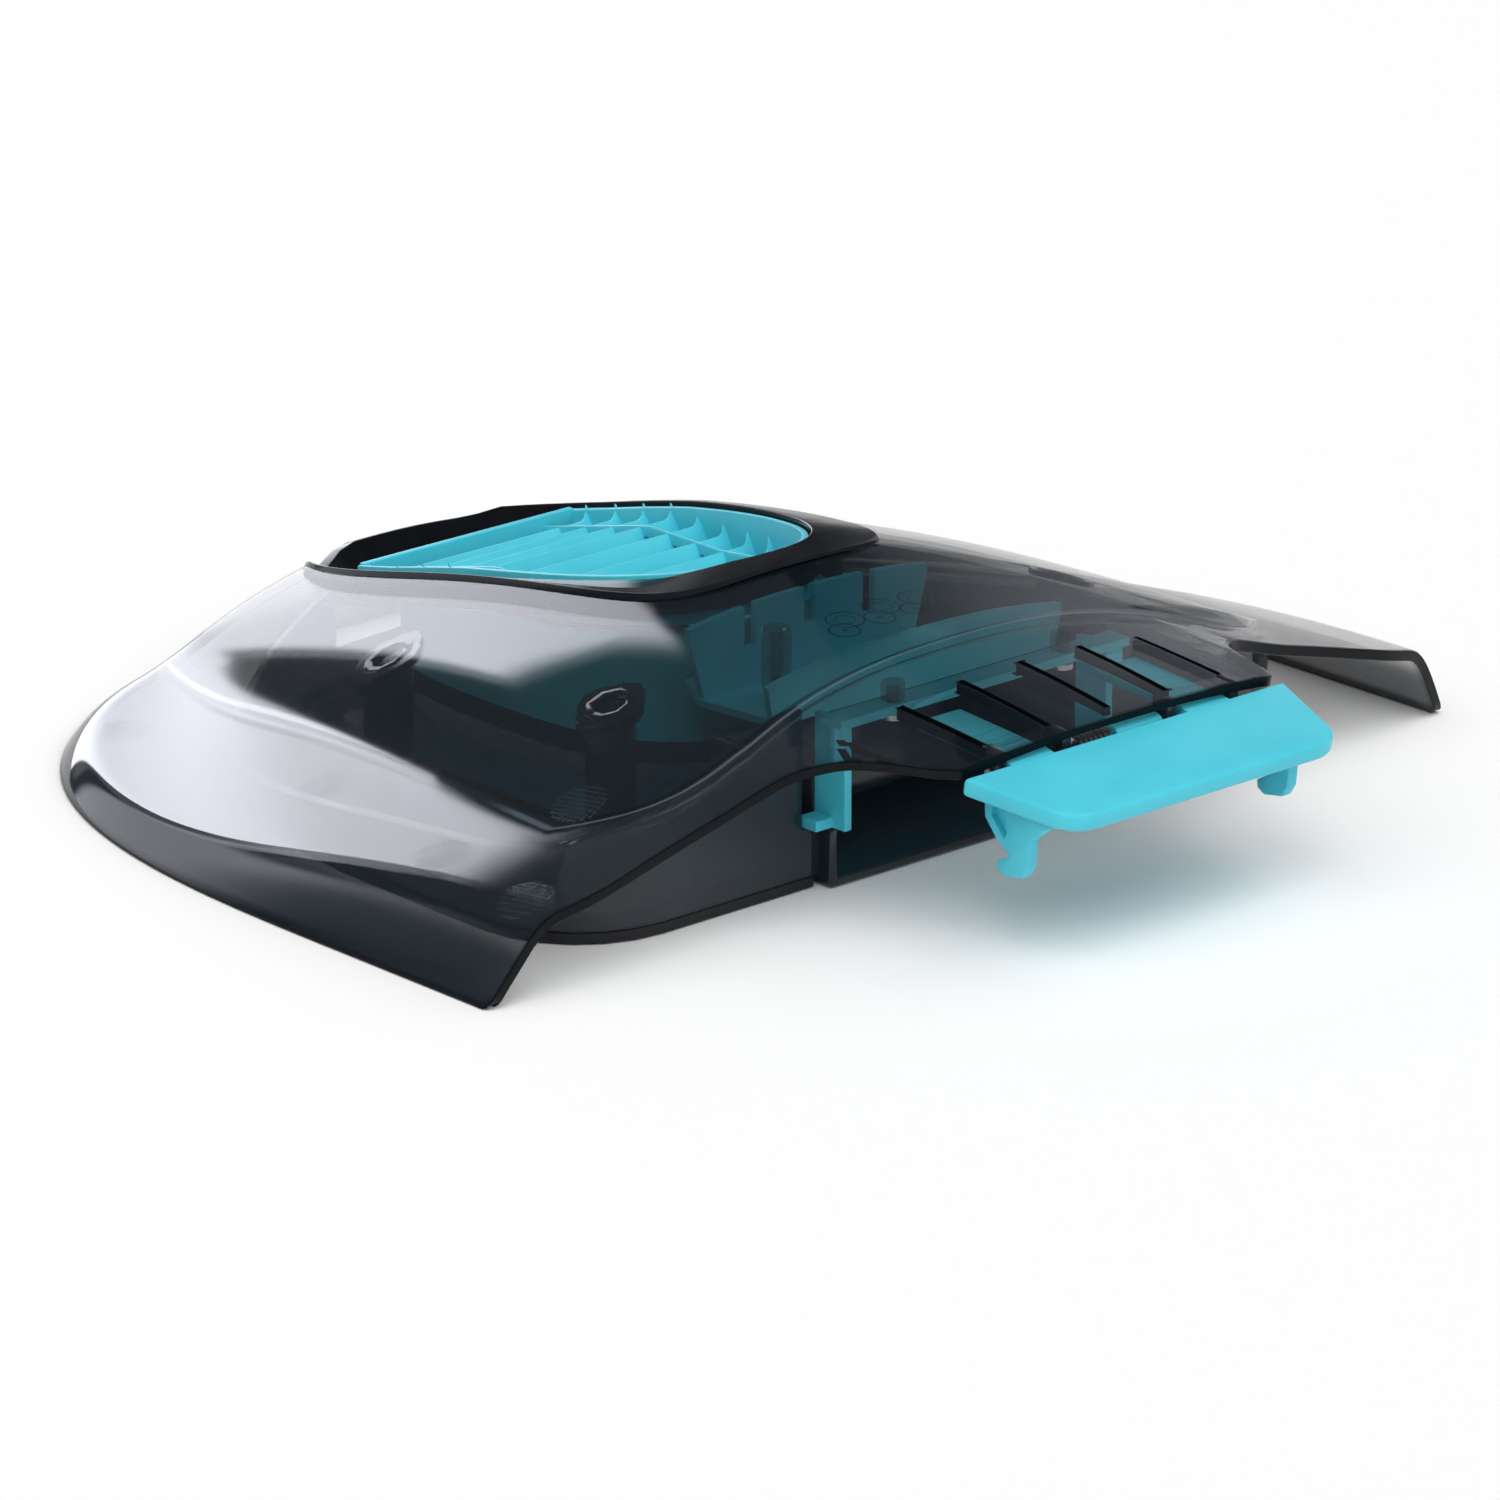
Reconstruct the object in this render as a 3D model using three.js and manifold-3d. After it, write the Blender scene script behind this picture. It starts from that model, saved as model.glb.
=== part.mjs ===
// Lid assembly of a robotic pool cleaner: a smoked shell with a rear outlet, its duct and
// grille, the frame that closes it from below, and the sprung finger latch at the front.
// Millimetres, +Z up. The latch faces -Y and the outlet +Y, and x = 0 is the plane of symmetry.
import * as THREE from 'three';
import { mergeVertices } from 'three/addons/utils/BufferGeometryUtils.js';
import Module from 'manifold-3d';

// Shell: plan outline and thickness
const halfWidth = 170;
const rearCentreY = 60;
const rearReach = 199;
const rearPower = 2.9;
const shellWall = 3;
const rimWidth = 3.2;
const tongueEdgeY = -48.5;
const tongueHalfWidth = 56;
const hubY = 120;

// Shell: heights
const crownZ = 60.3;
const crownY = 76;
const shoulderZ = 26;
const wingFloorZ = 9;

// Slots in the tongue
const slotCount = 5;
const slotPitch = 20.8;
const slotWidth = 2;
const slotFromY = -43.5;
const slotToY = -11;

// Outlet: ovals in plan, as centre, half width, half length and the corner powers front and rear
const bezelOuter = { y: 161.5, w: 46.5, l: 87.5, front: 5, rear: 3 };
const bezelInner = { y: 165, w: 41, l: 79.5, front: 2.6, rear: 3 };
const bezelWall = 2;
const bezelDepth = 12;
const openingGap = 2.6;
const bezelGap = 0.5;

// Grille
const grilleGap = 0.6;
const grilleRim = 1.8;
const grilleDrop = 1.6;
const grilleHeight = 9;
const grilleEndY = 207;
const slatFirstY = 98;
const slatPitch = 11.2;
const slatCount = 10;
const slatThickness = 1.6;
const slatLean = 0.65;
const slatZ = 44.7;
const slatHeight = 4;
const hornHeight = 3.5;
const ribX = 27;
const ribDepth = 3;
const ribFrontY = 101.5;

// Duct under the grille
const ductOval = { y: 145, w: 42.5, l: 62.5, front: 2.8, rear: 3 };
const ductWall = 2.2;
const ductFootZ = 14;
const ductDrop = 0.8;
const ductGap = 0.6;
const combY = 69;
const combNotch = 4;
const combPitch = 21;
const combFootZ = 46.5;
const frontRibY = 28;

// Lower frame
const frame = {
  w: 133, frontY: 12, corner: 32, reach: 154, wall: 2.5, deckZ: 5, deck: 2.5, footZ: 3.3,
};
const pocket = { w: 47.5, wall: 2.5, frontY: 8, rearY: 55, floor: 2.5, height: 30, lip: 4 };

// Posts and their screws
const posts = [[-80, 56], [80, 56], [-77, 148], [77, 148]];
const postRadius = 7;
const boreRadius = 2;
const boreTopZ = 34;
const ductBosses = [[-30, 48], [30, 48]];
const guideBosses = [[-30, 4], [30, 4]];

// Latch
const hinge = { y: -45.2, z: 43.8, pin: 1.5, bore: 1.8, barrel: 3 };
const knuckleX = [-0.4, 15.6];
const toothX = [[3.6, 6.4], [9, 11.4]];
const paddle = {
  backY: -51, frontY: -81, backZ: 47, frontZ: 42, backW: 56.5, frontW: 48,
  corner: 9, thickness: 5, bevel: 0.8,
};
const hookX = [44.2, 47.8];
const tailX = [23.5, 38.5];
const lugX = [[17, 20], [39.5, 42.5]];
const spring = { x: -8, turns: 6, pitch: 1.7, radius: 2.7, wire: 0.6, steps: 8, sides: 5 };

const gap = 0.3;
const centreY = (rearCentreY + rearReach + paddle.frontY) / 2;

const finishes = {
  smoked: () => new THREE.MeshStandardMaterial({ color: 0x1b2733, roughness: 0.08, metalness: 0 }),
  black: () => new THREE.MeshStandardMaterial({ color: 0x101216, roughness: 0.2, metalness: 0 }),
  turquoise: () => new THREE.MeshStandardMaterial({ color: 0x3cc3d2, roughness: 0.45, metalness: 0 }),
  steel: () => new THREE.MeshStandardMaterial({ color: 0xb9bcc0, roughness: 0.3, metalness: 1 }),
  rubber: () => new THREE.MeshStandardMaterial({ color: 0x17181a, roughness: 0.8, metalness: 0 }),
};

// Heights of the shell's outer face

function softMax(a, b, radius) {
  const near = Math.max(radius - Math.abs(a - b), 0) / radius;
  return Math.max(a, b) + (near * near * radius) / 4;
}

function softMin(a, b, radius) {
  return -softMax(-a, -b, radius);
}

function crown(y) {
  if (y < crownY) return crownZ - 4.5 * ((crownY - y) / 66) ** 2;
  return crownZ - 15.1 * ((y - crownY) / 114) ** 1.74;
}

// 1 on the outline at the sides and rear, less inside it
function reach(x, y) {
  const across = (Math.abs(x) / halfWidth) ** rearPower;
  const along = (Math.max(y - rearCentreY, 0) / rearReach) ** rearPower;
  return (across + along) ** (1 / rearPower);
}

// The shell is the highest of three forms, cut down to the rim: the tongue over the latch,
// the wings at the sides, and the body that carries the outlet and steps up at the crease.
function hoodTop(x, y) {
  const side = Math.abs(x);
  const tongue = 55.3 + 0.05 * (y + 11) - 2.7 * (side / 41.7) ** 2.4 - 0.3 * Math.max(0, y - 12);
  const fall = 15.4 * (Math.max(y, 0) / 150) ** 1.83;
  const wing = softMax(shoulderZ + 0.265 * (140 - Math.max(side, 80)) - fall, wingFloorZ, 6);
  const creaseY = 10 + 11 * (Math.max(side - 80, 0) / 40) ** 2;
  const narrowing = 21.3 + 16 * Math.min(Math.max((y - 60) / 150, -0.3), 1.2);
  const body = crown(y) - narrowing * (side / 100) ** 2.36 - 0.6 * Math.max(0, creaseY + 4 - y);
  const raised = softMax(softMax(tongue, wing, 4), body, 6);
  const inward = 180 * Math.max(1 - reach(x, y), 0);
  return softMin(raised, 1.7 * inward ** 0.95, 6);
}

function hoodNormal(x, y) {
  const step = 0.5;
  const dx = (hoodTop(x + step, y) - hoodTop(x - step, y)) / (2 * step);
  const dy = (hoodTop(x, y + step) - hoodTop(x, y - step)) / (2 * step);
  return new THREE.Vector3(-dx, -dy, 1).normalize();
}

// Top edge of the outlet bezel
function bezelLine(x, y) {
  const drop = 3 * Math.max((y - 160) / 90, 0);
  const line = crown(y) - 23 * (Math.abs(x) / 100) ** 2.36 + 1 - drop;
  return Math.max(line, hoodTop(x, y) + bezelGap + 0.9);
}

// Plan curves

function ovalPoint(oval, t, grow = 0) {
  const power = Math.sin(t) < 0 ? oval.front : oval.rear;
  const c = Math.cos(t);
  const s = Math.sin(t);
  return [
    (oval.w + grow) * Math.sign(c) * Math.abs(c) ** (2 / power),
    oval.y + (oval.l + grow) * Math.sign(s) * Math.abs(s) ** (2 / power),
  ];
}

function insideOval(oval, x, y, grow) {
  const power = y < oval.y ? oval.front : oval.rear;
  const across = Math.abs(x / (oval.w + grow)) ** power;
  return across + Math.abs((y - oval.y) / (oval.l + grow)) ** power < 1;
}

// Where the line from the hub to a point of the outline leaves an oval
function leaving(oval, grow, x, y) {
  let low = 0;
  let high = 1;
  for (let i = 0; i < 30; i++) {
    const middle = (low + high) / 2;
    if (insideOval(oval, x * middle, hubY + (y - hubY) * middle, grow)) low = middle;
    else high = middle;
  }
  return [x * low, hubY + (y - hubY) * low];
}

// Right half of the shell's outline, from the tongue's middle round to the rear
function halfOutline() {
  const points = [[0, tongueEdgeY], [14, tongueEdgeY], [28, tongueEdgeY], [42, tongueEdgeY]];
  points.push([54, tongueEdgeY], [tongueHalfWidth, -46.5], [58.5, -42], [61, -35], [64, -27]);
  points.push([69, -18], [77, -12], [90, -9.4], [110, -8], [140, -7.5], [152, -5.5]);
  points.push([162, -3], [168, -0.8]);
  points.push([halfWidth, 1], [halfWidth, 22], [halfWidth, 44]);
  for (const degrees of [4, 11, 18, 25, 33, 41, 49, 57, 64, 70, 74, 77, 79, 81, 83, 85, 87, 89]) {
    const t = THREE.MathUtils.degToRad(degrees);
    const x = halfWidth * Math.cos(t) ** (2 / rearPower);
    points.push([x, rearCentreY + rearReach * Math.sin(t) ** (2 / rearPower)]);
  }
  return points;
}

function outline() {
  const half = halfOutline();
  const mirrored = half.slice(1).reverse().map(([x, y]) => [-x, y]);
  return [...half, [0, rearCentreY + rearReach], ...mirrored];
}

// Solids

function signedVolume(positions, index) {
  const [a, b, c] = [new THREE.Vector3(), new THREE.Vector3(), new THREE.Vector3()];
  let sum = 0;
  for (let i = 0; i < index.length; i += 3) {
    a.fromArray(positions, index[i] * 3);
    b.fromArray(positions, index[i + 1] * 3);
    c.fromArray(positions, index[i + 2] * 3);
    sum += a.dot(b.cross(c)) / 6;
  }
  return sum;
}

function closedGeometry(points, index) {
  const positions = points.flatMap((p) => (p.isVector3 ? [p.x, p.y, p.z] : p));
  if (signedVolume(positions, index) < 0) index.reverse();
  const geometry = new THREE.BufferGeometry();
  geometry.setAttribute('position', new THREE.Float32BufferAttribute(positions, 3));
  geometry.setIndex(index);
  return geometry;
}

// Skin through a row of matching sections: a closed ring, or a bar with flat convex ends
function loft(sections, ring) {
  const sides = sections[0].length;
  const last = sections.length - 1;
  const index = [];
  for (let i = 0; i < (ring ? last + 1 : last); i++) {
    const next = ((i + 1) % (last + 1)) * sides;
    for (let j = 0; j < sides; j++) {
      const k = (j + 1) % sides;
      index.push(i * sides + j, i * sides + k, next + k, i * sides + j, next + k, next + j);
    }
  }
  for (let j = 1; j < sides - 1 && !ring; j++) {
    index.push(0, j + 1, j, last * sides, last * sides + j, last * sides + j + 1);
  }
  return closedGeometry(sections.flat(), index);
}

function prism(outline, fromZ, toZ, holes = []) {
  const points = outline.map(([x, y]) => new THREE.Vector2(x, y));
  if (THREE.ShapeUtils.isClockWise(points)) points.reverse();
  const shape = new THREE.Shape(points);
  for (const hole of holes) {
    shape.holes.push(new THREE.Path(hole.map(([x, y]) => new THREE.Vector2(x, y))));
  }
  const geometry = new THREE.ExtrudeGeometry(shape, { depth: toZ - fromZ, bevelEnabled: false });
  return geometry.translate(0, 0, fromZ);
}

// Profile drawn in y and z, with its thickness along x
function sidePlate(outline, fromX, toX, holes = []) {
  const geometry = prism(outline, fromX, toX, holes);
  const axes = new THREE.Matrix4().makeBasis(
    new THREE.Vector3(0, 1, 0), new THREE.Vector3(0, 0, 1), new THREE.Vector3(1, 0, 0));
  return geometry.applyMatrix4(axes);
}

function box(fromX, toX, fromY, toY, fromZ, toZ) {
  return new THREE.BoxGeometry(toX - fromX, toY - fromY, toZ - fromZ)
    .translate((fromX + toX) / 2, (fromY + toY) / 2, (fromZ + toZ) / 2);
}

function upright(x, y, radius, fromZ, toZ, sides = 20) {
  return new THREE.CylinderGeometry(radius, radius, toZ - fromZ, sides)
    .rotateX(Math.PI / 2).translate(x, y, (fromZ + toZ) / 2);
}

function crossbar(radius, fromX, toX, sides = 16) {
  return new THREE.CylinderGeometry(radius, radius, toX - fromX, sides)
    .rotateZ(Math.PI / 2).translate((fromX + toX) / 2, hinge.y, hinge.z);
}

function ovalLoop(oval, grow, count) {
  return Array.from({ length: count }, (_, i) => ovalPoint(oval, (i / count) * 2 * Math.PI, grow));
}

const wasm = await Module();
wasm.setup();

function toSolid(source) {
  let geometry = source.clone();
  geometry.deleteAttribute('normal');
  geometry.deleteAttribute('uv');
  geometry = mergeVertices(geometry, 1e-4);
  return new wasm.Manifold(new wasm.Mesh({
    numProp: 3,
    vertProperties: new Float32Array(geometry.attributes.position.array),
    triVerts: new Uint32Array(geometry.index.array),
  }));
}

function toGeometry(solid) {
  const mesh = solid.getMesh();
  const geometry = new THREE.BufferGeometry();
  geometry.setAttribute('position', new THREE.Float32BufferAttribute(mesh.vertProperties, 3));
  geometry.setIndex(Array.from(mesh.triVerts));
  return geometry;
}

const join = (...geometries) => geometries.map(toSolid).reduce((a, b) => a.add(b));

// Rays from the hub, each with its points on the shell's outer face and the matching points
// at a depth below it. The depth is measured square to the face, and turns upright at the
// outlet, where the opening has an upright edge.
function hoodRays(depth) {
  const stations = [0.06, 0.14, 0.24, 0.34, 0.45, 0.53, 0.6, 0.7, 0.8, 0.88, 0.95, 1];
  return outline().map(([x, y]) => {
    const opening = leaving(bezelInner, openingGap, x, y);
    const seat = leaving(bezelOuter, 0.4, x, y);
    const plan = stations.map((s) => [seat[0] + (x - seat[0]) * s, seat[1] + (y - seat[1]) * s]);
    const outer = [opening, seat, ...plan].map(([px, py]) => new THREE.Vector3(px, py, hoodTop(px, py)));
    const inner = outer.map((p, i) => {
      const normal = hoodNormal(p.x, p.y);
      const upright = Math.max(1 - i / 5, 0);
      const inwards = normal.clone().negate().lerp(new THREE.Vector3(0, 0, -1), upright).normalize();
      return p.clone().addScaledVector(inwards, -depth / inwards.dot(normal));
    });
    return { outer, inner, rim: outer[outer.length - 1] };
  });
}

// Everything above the shell's inner face, and a clearance below that face
function aboveHood(clearance) {
  const sections = hoodRays(shellWall + clearance).map(({ outer, inner, rim }) => {
    if (rim.z < shellWall) {
      const inward = new THREE.Vector3(-rim.x, hubY - rim.y, 0).setLength(rimWidth);
      inner[inner.length - 1] = rim.clone().add(inward).setZ(-4);
    }
    return [rim.clone().setZ(90), ...inner.reverse(), outer[0].clone().setZ(90)];
  });
  return toSolid(loft(sections, true));
}

// Pieces

function hoodShell() {
  const sections = hoodRays(shellWall).map(({ outer, inner, rim }) => {
    for (const p of inner) p.z = Math.max(p.z, 0);
    if (rim.z < shellWall) {
      const inward = new THREE.Vector3(-rim.x, hubY - rim.y, 0).setLength(rimWidth);
      inner[inner.length - 1] = rim.clone().add(inward).setZ(0);
    }
    return [...outer, ...inner.reverse()];
  });
  const columns = posts.map(([x, y]) => upright(x, y, postRadius, frame.deckZ + frame.deck + gap, 60));
  for (const [x, y] of ductBosses) columns.push(upright(x, y, 4, ductDeckZ(y) + 1.9 + gap, 60));
  for (const [x, y] of guideBosses) columns.push(upright(x, y, 3.2, guideBarZ + 2.5 + gap, 60, 16));
  for (const side of [-1, 1]) {
    for (const [from, to] of lugX) {
      const lug = [[-48.3, 42], [-47, 40.6], [-43.4, 40.6], [-42, 42], [-42, 56], [-48.3, 56]];
      columns.push(sidePlate(lug, Math.min(side * from, side * to), Math.max(side * from, side * to)));
    }
  }
  let shell = toSolid(loft(sections, true)).add(join(...columns).subtract(aboveHood(-1.8)));
  for (let i = 0; i < slotCount; i++) {
    const x = (i - (slotCount - 1) / 2) * slotPitch;
    shell = shell.subtract(toSolid(box(x - slotWidth / 2, x + slotWidth / 2, slotFromY, slotToY, 40, 60)));
  }
  const bores = posts.map(([x, y]) => upright(x, y, boreRadius, 0, boreTopZ, 12));
  for (const [x, y] of ductBosses) bores.push(upright(x, y, 1.6, 30, 48, 12));
  for (const [x, y] of guideBosses) bores.push(upright(x, y, 1.6, 40, 49.5, 12));
  bores.push(crossbar(hinge.bore, -50, 50));
  return shell.subtract(join(...bores));
}

function outletBezel() {
  const sections = outline().map(([x, y]) => {
    const at = (oval, grow, height) => {
      const [px, py] = leaving(oval, grow, x, y);
      return new THREE.Vector3(px, py, height(px, py));
    };
    const opening = at(bezelInner, openingGap, hoodTop);
    const rest = at(bezelOuter, 0.4, hoodTop);
    const along = rest.clone().sub(opening);
    const seat = (px, py) => {
      const s = Math.hypot(px - opening.x, py - opening.y) / Math.hypot(along.x, along.y);
      const back = Math.hypot(px, py - hubY) < Math.hypot(opening.x, opening.y - hubY) ? -1 : 1;
      return opening.z + along.z * s * back + bezelGap;
    };
    const foot = (px, py) => bezelLine(px, py) - bezelDepth;
    return [
      at(bezelOuter, 0, seat),
      at(bezelOuter, -0.9, bezelLine),
      at(bezelInner, 0, (px, py) => bezelLine(px, py) - 0.2),
      at(bezelInner, 0, foot),
      at(bezelInner, bezelWall, foot),
      at(bezelInner, bezelWall, seat),
    ];
  });
  return toSolid(loft(sections, true));
}

function outletGrille() {
  const rimSections = [];
  const endShare = (grilleEndY - bezelInner.y) / (bezelInner.l - grilleGap);
  const endAngle = Math.asin(endShare ** (bezelInner.rear / 2));
  const steps = 44;
  for (let i = 0; i <= steps; i++) {
    const t = Math.PI - endAngle + ((Math.PI + 2 * endAngle) * i) / steps;
    const [ox, oy] = ovalPoint(bezelInner, t, -grilleGap);
    const [ix, iy] = ovalPoint(bezelInner, t, -grilleGap - grilleRim);
    const top = bezelLine(ox, oy) - grilleDrop;
    const low = grilleFootZ(ox, oy);
    const corners = [[ox, oy, top], [ix, iy, top], [ix, iy, low], [ox, oy, low]];
    rimSections.push(corners.map((p) => new THREE.Vector3(...p)));
  }
  const parts = [loft(rimSections, false)];
  for (let i = 0; i < slatCount; i++) parts.push(slat(slatFirstY + slatPitch * i));
  const endX = widthAt(bezelInner, grilleEndY, -grilleGap - 0.6);
  const endTop = bezelLine(30, grilleEndY) - grilleDrop;
  parts.push(box(-endX, endX, grilleEndY - 2, grilleEndY, endTop - 8.5, endTop - 1));
  for (const side of [-1, 1]) {
    const rib = [ribFrontY, 116, 132, 154, 176, grilleEndY - 1].map((y) => {
      const [x, top] = [side * ribX, slatTop(y) + 0.4];
      const [from, to, low] = [x - 0.8, x + 0.8, top - ribDepth];
      const corners = [[from, y, top], [to, y, top], [to, y, low], [from, y, low]];
      return corners.map((p) => new THREE.Vector3(...p));
    });
    parts.push(loft(rib, false));
  }
  return join(...parts);
}

function widthAt(oval, y, grow) {
  const power = y < oval.y ? oval.front : oval.rear;
  const along = Math.abs((y - oval.y) / (oval.l + grow)) ** power;
  return (oval.w + grow) * (1 - along) ** (1 / power);
}

// Height of the slats' level stretch, and of the grille's lower edge
function slatTop(y) {
  return Math.min(slatZ + 0.1 * Math.max(133 - y, 0), bezelLine(38, y) - 5);
}

function grilleFootZ(x, y) {
  return Math.min(bezelLine(x, y) - grilleDrop - grilleHeight, slatTop(y) - slatHeight - 0.3);
}

// One slat: its top edge is level and rises to a point at each wall, and it leans back
function slat(y) {
  const narrowest = y < bezelInner.y ? y - slatLean * slatHeight - 1 : y + 2.5;
  const wallX = widthAt(bezelInner, narrowest, -grilleGap - 0.6);
  const half = [[0, 0], [0.45, 0], [0.9, 0.05], [0.95, 0.3], [0.98, 0.7], [1, 1]];
  const edge = half.map(([u, rise]) => [u * wallX, slatHeight + hornHeight * rise]);
  const outline = [...edge.slice(1).reverse().map(([x, z]) => [-x, z]), ...edge];
  const profile = [...outline, [wallX, 0], [-wallX, 0]];
  const geometry = prism(profile, -slatThickness / 2, slatThickness / 2).rotateX(Math.PI / 2);
  const lean = new THREE.Matrix4().makeShear(0, 0, 0, 0, 0, slatLean);
  return geometry.applyMatrix4(lean).translate(0, y - slatLean * slatHeight, slatTop(y) - slatHeight);
}

function ductDeckZ(y) {
  return y < combY ? THREE.MathUtils.mapLinear(y, frontRibY, combY, 40, 32.5) : 32.5;
}

function outletDuct() {
  const tube = [];
  const count = 40;
  for (let i = 0; i < count; i++) {
    const t = (i / count) * 2 * Math.PI;
    const [ox, oy] = ovalPoint(ductOval, t);
    const [ix, iy] = ovalPoint(ductOval, t, -ductWall);
    const underBezel = Math.min(bezelLine(ox, oy), bezelLine(ix, iy)) - bezelDepth - ductDrop;
    const top = Math.min(underBezel, grilleFootZ(ox, oy) - ductGap);
    const corners = [[ox, oy, top], [ix, iy, top], [ix, iy, ductFootZ], [ox, oy, ductFootZ]];
    tube.push(corners.map((p) => new THREE.Vector3(...p)));
  }
  const deck = [[frontRibY - 1, 50], [combY, 38], [ductOval.y - ductOval.l + 1.2, 30]].map(([y, w]) => {
    const z = ductDeckZ(y);
    const corners = [[-w, y, z + 1], [w, y, z + 1], [w, y, z - 1], [-w, y, z - 1]];
    return corners.map((p) => new THREE.Vector3(...p));
  });
  const comb = prism([[-36.5, 32], [36.5, 32], [42, 50], [42, 62], [-42, 62], [-42, 50]], -1, 1)
    .rotateX(Math.PI / 2).translate(0, combY, 0);
  const rib = prism([[-50, 39.5], [50, 39.5], [52, 50], [52, 60], [-52, 60], [-52, 50]], -1, 1)
    .rotateX(Math.PI / 2).translate(0, frontRibY, 0);
  let walls = join(comb, rib).subtract(aboveHood(0.8));
  for (const n of [-1, 0, 1]) {
    const x = n * combPitch;
    const foot = combFootZ - 2 * Math.abs(n);
    const notch = box(x - combNotch / 2, x + combNotch / 2, combY - 3, combY + 3, foot, 62);
    walls = walls.subtract(toSolid(notch));
  }
  const screwHoles = ductBosses.map(([x, y]) => upright(x, y, 1.6, 25, 45, 12));
  return join(loft(tube, true), loft(deck, false)).add(walls).subtract(join(...screwHoles));
}

const guideBarZ = 45.3;

// Arch over the pocket in the frame, with a guide leg at each side of the pocket's mouth
function pocketArch() {
  const parts = [box(-51, 51, 0.5, 8, guideBarZ, guideBarZ + 2.5)];
  for (const side of [-1, 1]) {
    const span = (a, b) => [Math.min(side * a, side * b), Math.max(side * a, side * b)];
    parts.push(box(...span(45, 47.4), 3, 14.5, 16.6, guideBarZ + 1));
    parts.push(box(...span(45, 53), 7.7, 14.5, 16.6, 19.4));
    parts.push(box(...span(45, 51), 3, 5, 36, guideBarZ + 1));
  }
  const holes = guideBosses.map(([x, y]) => upright(x, y, 1.6, 40, 50, 12));
  return join(...parts).subtract(aboveHood(0.6)).subtract(join(...holes));
}

// Frame outline: square front with round corners, and a rounded rear like the shell's
function frameOutline(inset) {
  const half = [];
  const w = frame.w - inset;
  const corner = frame.corner - inset;
  for (let degrees = -90; degrees <= 0; degrees += 15) {
    const t = THREE.MathUtils.degToRad(degrees);
    half.push([w - corner + corner * Math.cos(t), frame.frontY + frame.corner + corner * Math.sin(t)]);
  }
  for (let degrees = 0; degrees < 90; degrees += degrees < 25 ? 8 : 11) {
    const t = THREE.MathUtils.degToRad(degrees);
    const y = rearCentreY + 4 + (frame.reach - inset - 4) * Math.sin(t) ** (2 / rearPower);
    half.push([w * Math.cos(t) ** (2 / rearPower), y]);
  }
  return half;
}

function frameLoop(inset) {
  const half = frameOutline(inset);
  return [...half, ...half.slice().reverse().map(([x, y]) => [-x, y])];
}

function pocketLoop(grow) {
  const [w, front, rear] = [pocket.w + grow, pocket.frontY - grow, pocket.rearY + grow];
  return [[-w, front], [w, front], [w, rear], [-w, rear]];
}

function lowerFrame() {
  const wall = toSolid(prism(frameLoop(0), frame.footZ, 62, [frameLoop(frame.wall).reverse()]));
  const deckTop = frame.deckZ + frame.deck;
  const deck = toSolid(prism(frameLoop(1), frame.deckZ, deckTop, [ovalLoop(ductOval, -5, 32).reverse()]));
  let body = wall.add(deck).subtract(toSolid(prism(pocketLoop(gap), -2, 64)));
  for (const side of [-1, 1]) {
    const [from, to] = [Math.min(side * 44, side * 54), Math.max(side * 44, side * 54)];
    body = body.subtract(toSolid(box(from, to, 0, 15, 16.3, 64)));
  }
  body = body.subtract(toSolid(prism(ovalLoop(bezelInner, 6, 40), 13.5, 90)));
  const holes = posts.map(([x, y]) => upright(x, y, boreRadius, 0, 12, 12));
  return body.subtract(aboveHood(0.5)).subtract(join(...holes));
}

// Open tray behind the latch, with a lip that sits on the frame's deck
function latchPocket() {
  const inner = pocket.w - pocket.wall;
  const lipZ = frame.deckZ + frame.deck + gap;
  const lip = toSolid(prism(pocketLoop(pocket.lip), lipZ, lipZ + 2))
    .subtract(toSolid(box(-90, 90, -20, frame.frontY + frame.wall + 1, 0, 20)));
  const tray = toSolid(prism(pocketLoop(0), 0, pocket.height)).add(lip)
    .subtract(toSolid(box(-inner, inner, 0, pocket.rearY - pocket.wall, pocket.floor, 40)));
  const rooms = [-1, 1].map((side) => {
    const [from, to] = [Math.min(side * 44.7, side * 54), Math.max(side * 44.7, side * 54)];
    return box(from, to, 0, 15, 16.3, 40);
  });
  return tray.subtract(join(...rooms));
}

// Strip under the frame's wall, open at the pocket
function frameSeal() {
  const middle = frameOutline(frame.wall / 2 + 0.2).filter(([x]) => x > 48);
  const right = [[49.5, frame.frontY + frame.wall / 2 + 0.2], ...middle];
  const rear = frameOutline(frame.wall / 2 + 0.2).filter(([x, y]) => x <= 48 && y > 100);
  const path = [...right, ...rear, ...rear.slice().reverse().map(([x, y]) => [-x, y])];
  path.push(...right.slice().reverse().map(([x, y]) => [-x, y]));
  const sections = path.map(([x, y], i) => {
    const [px, py] = path[Math.max(i - 1, 0)];
    const [nx, ny] = path[Math.min(i + 1, path.length - 1)];
    const out = new THREE.Vector3(ny - py, px - nx, 0).setLength(1.3);
    const z = frame.footZ - gap;
    return [
      new THREE.Vector3(x + out.x, y + out.y, z), new THREE.Vector3(x - out.x, y - out.y, z),
      new THREE.Vector3(x - out.x, y - out.y, 0), new THREE.Vector3(x + out.x, y + out.y, 0),
    ];
  });
  return toSolid(loft(sections, false));
}

function ductSeal() {
  const hole = ovalLoop(ductOval, -ductWall - 0.6, 40).reverse();
  return toSolid(prism(ovalLoop(ductOval, 0, 40), frame.deckZ + frame.deck + gap, ductFootZ - gap, [hole]));
}

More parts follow.
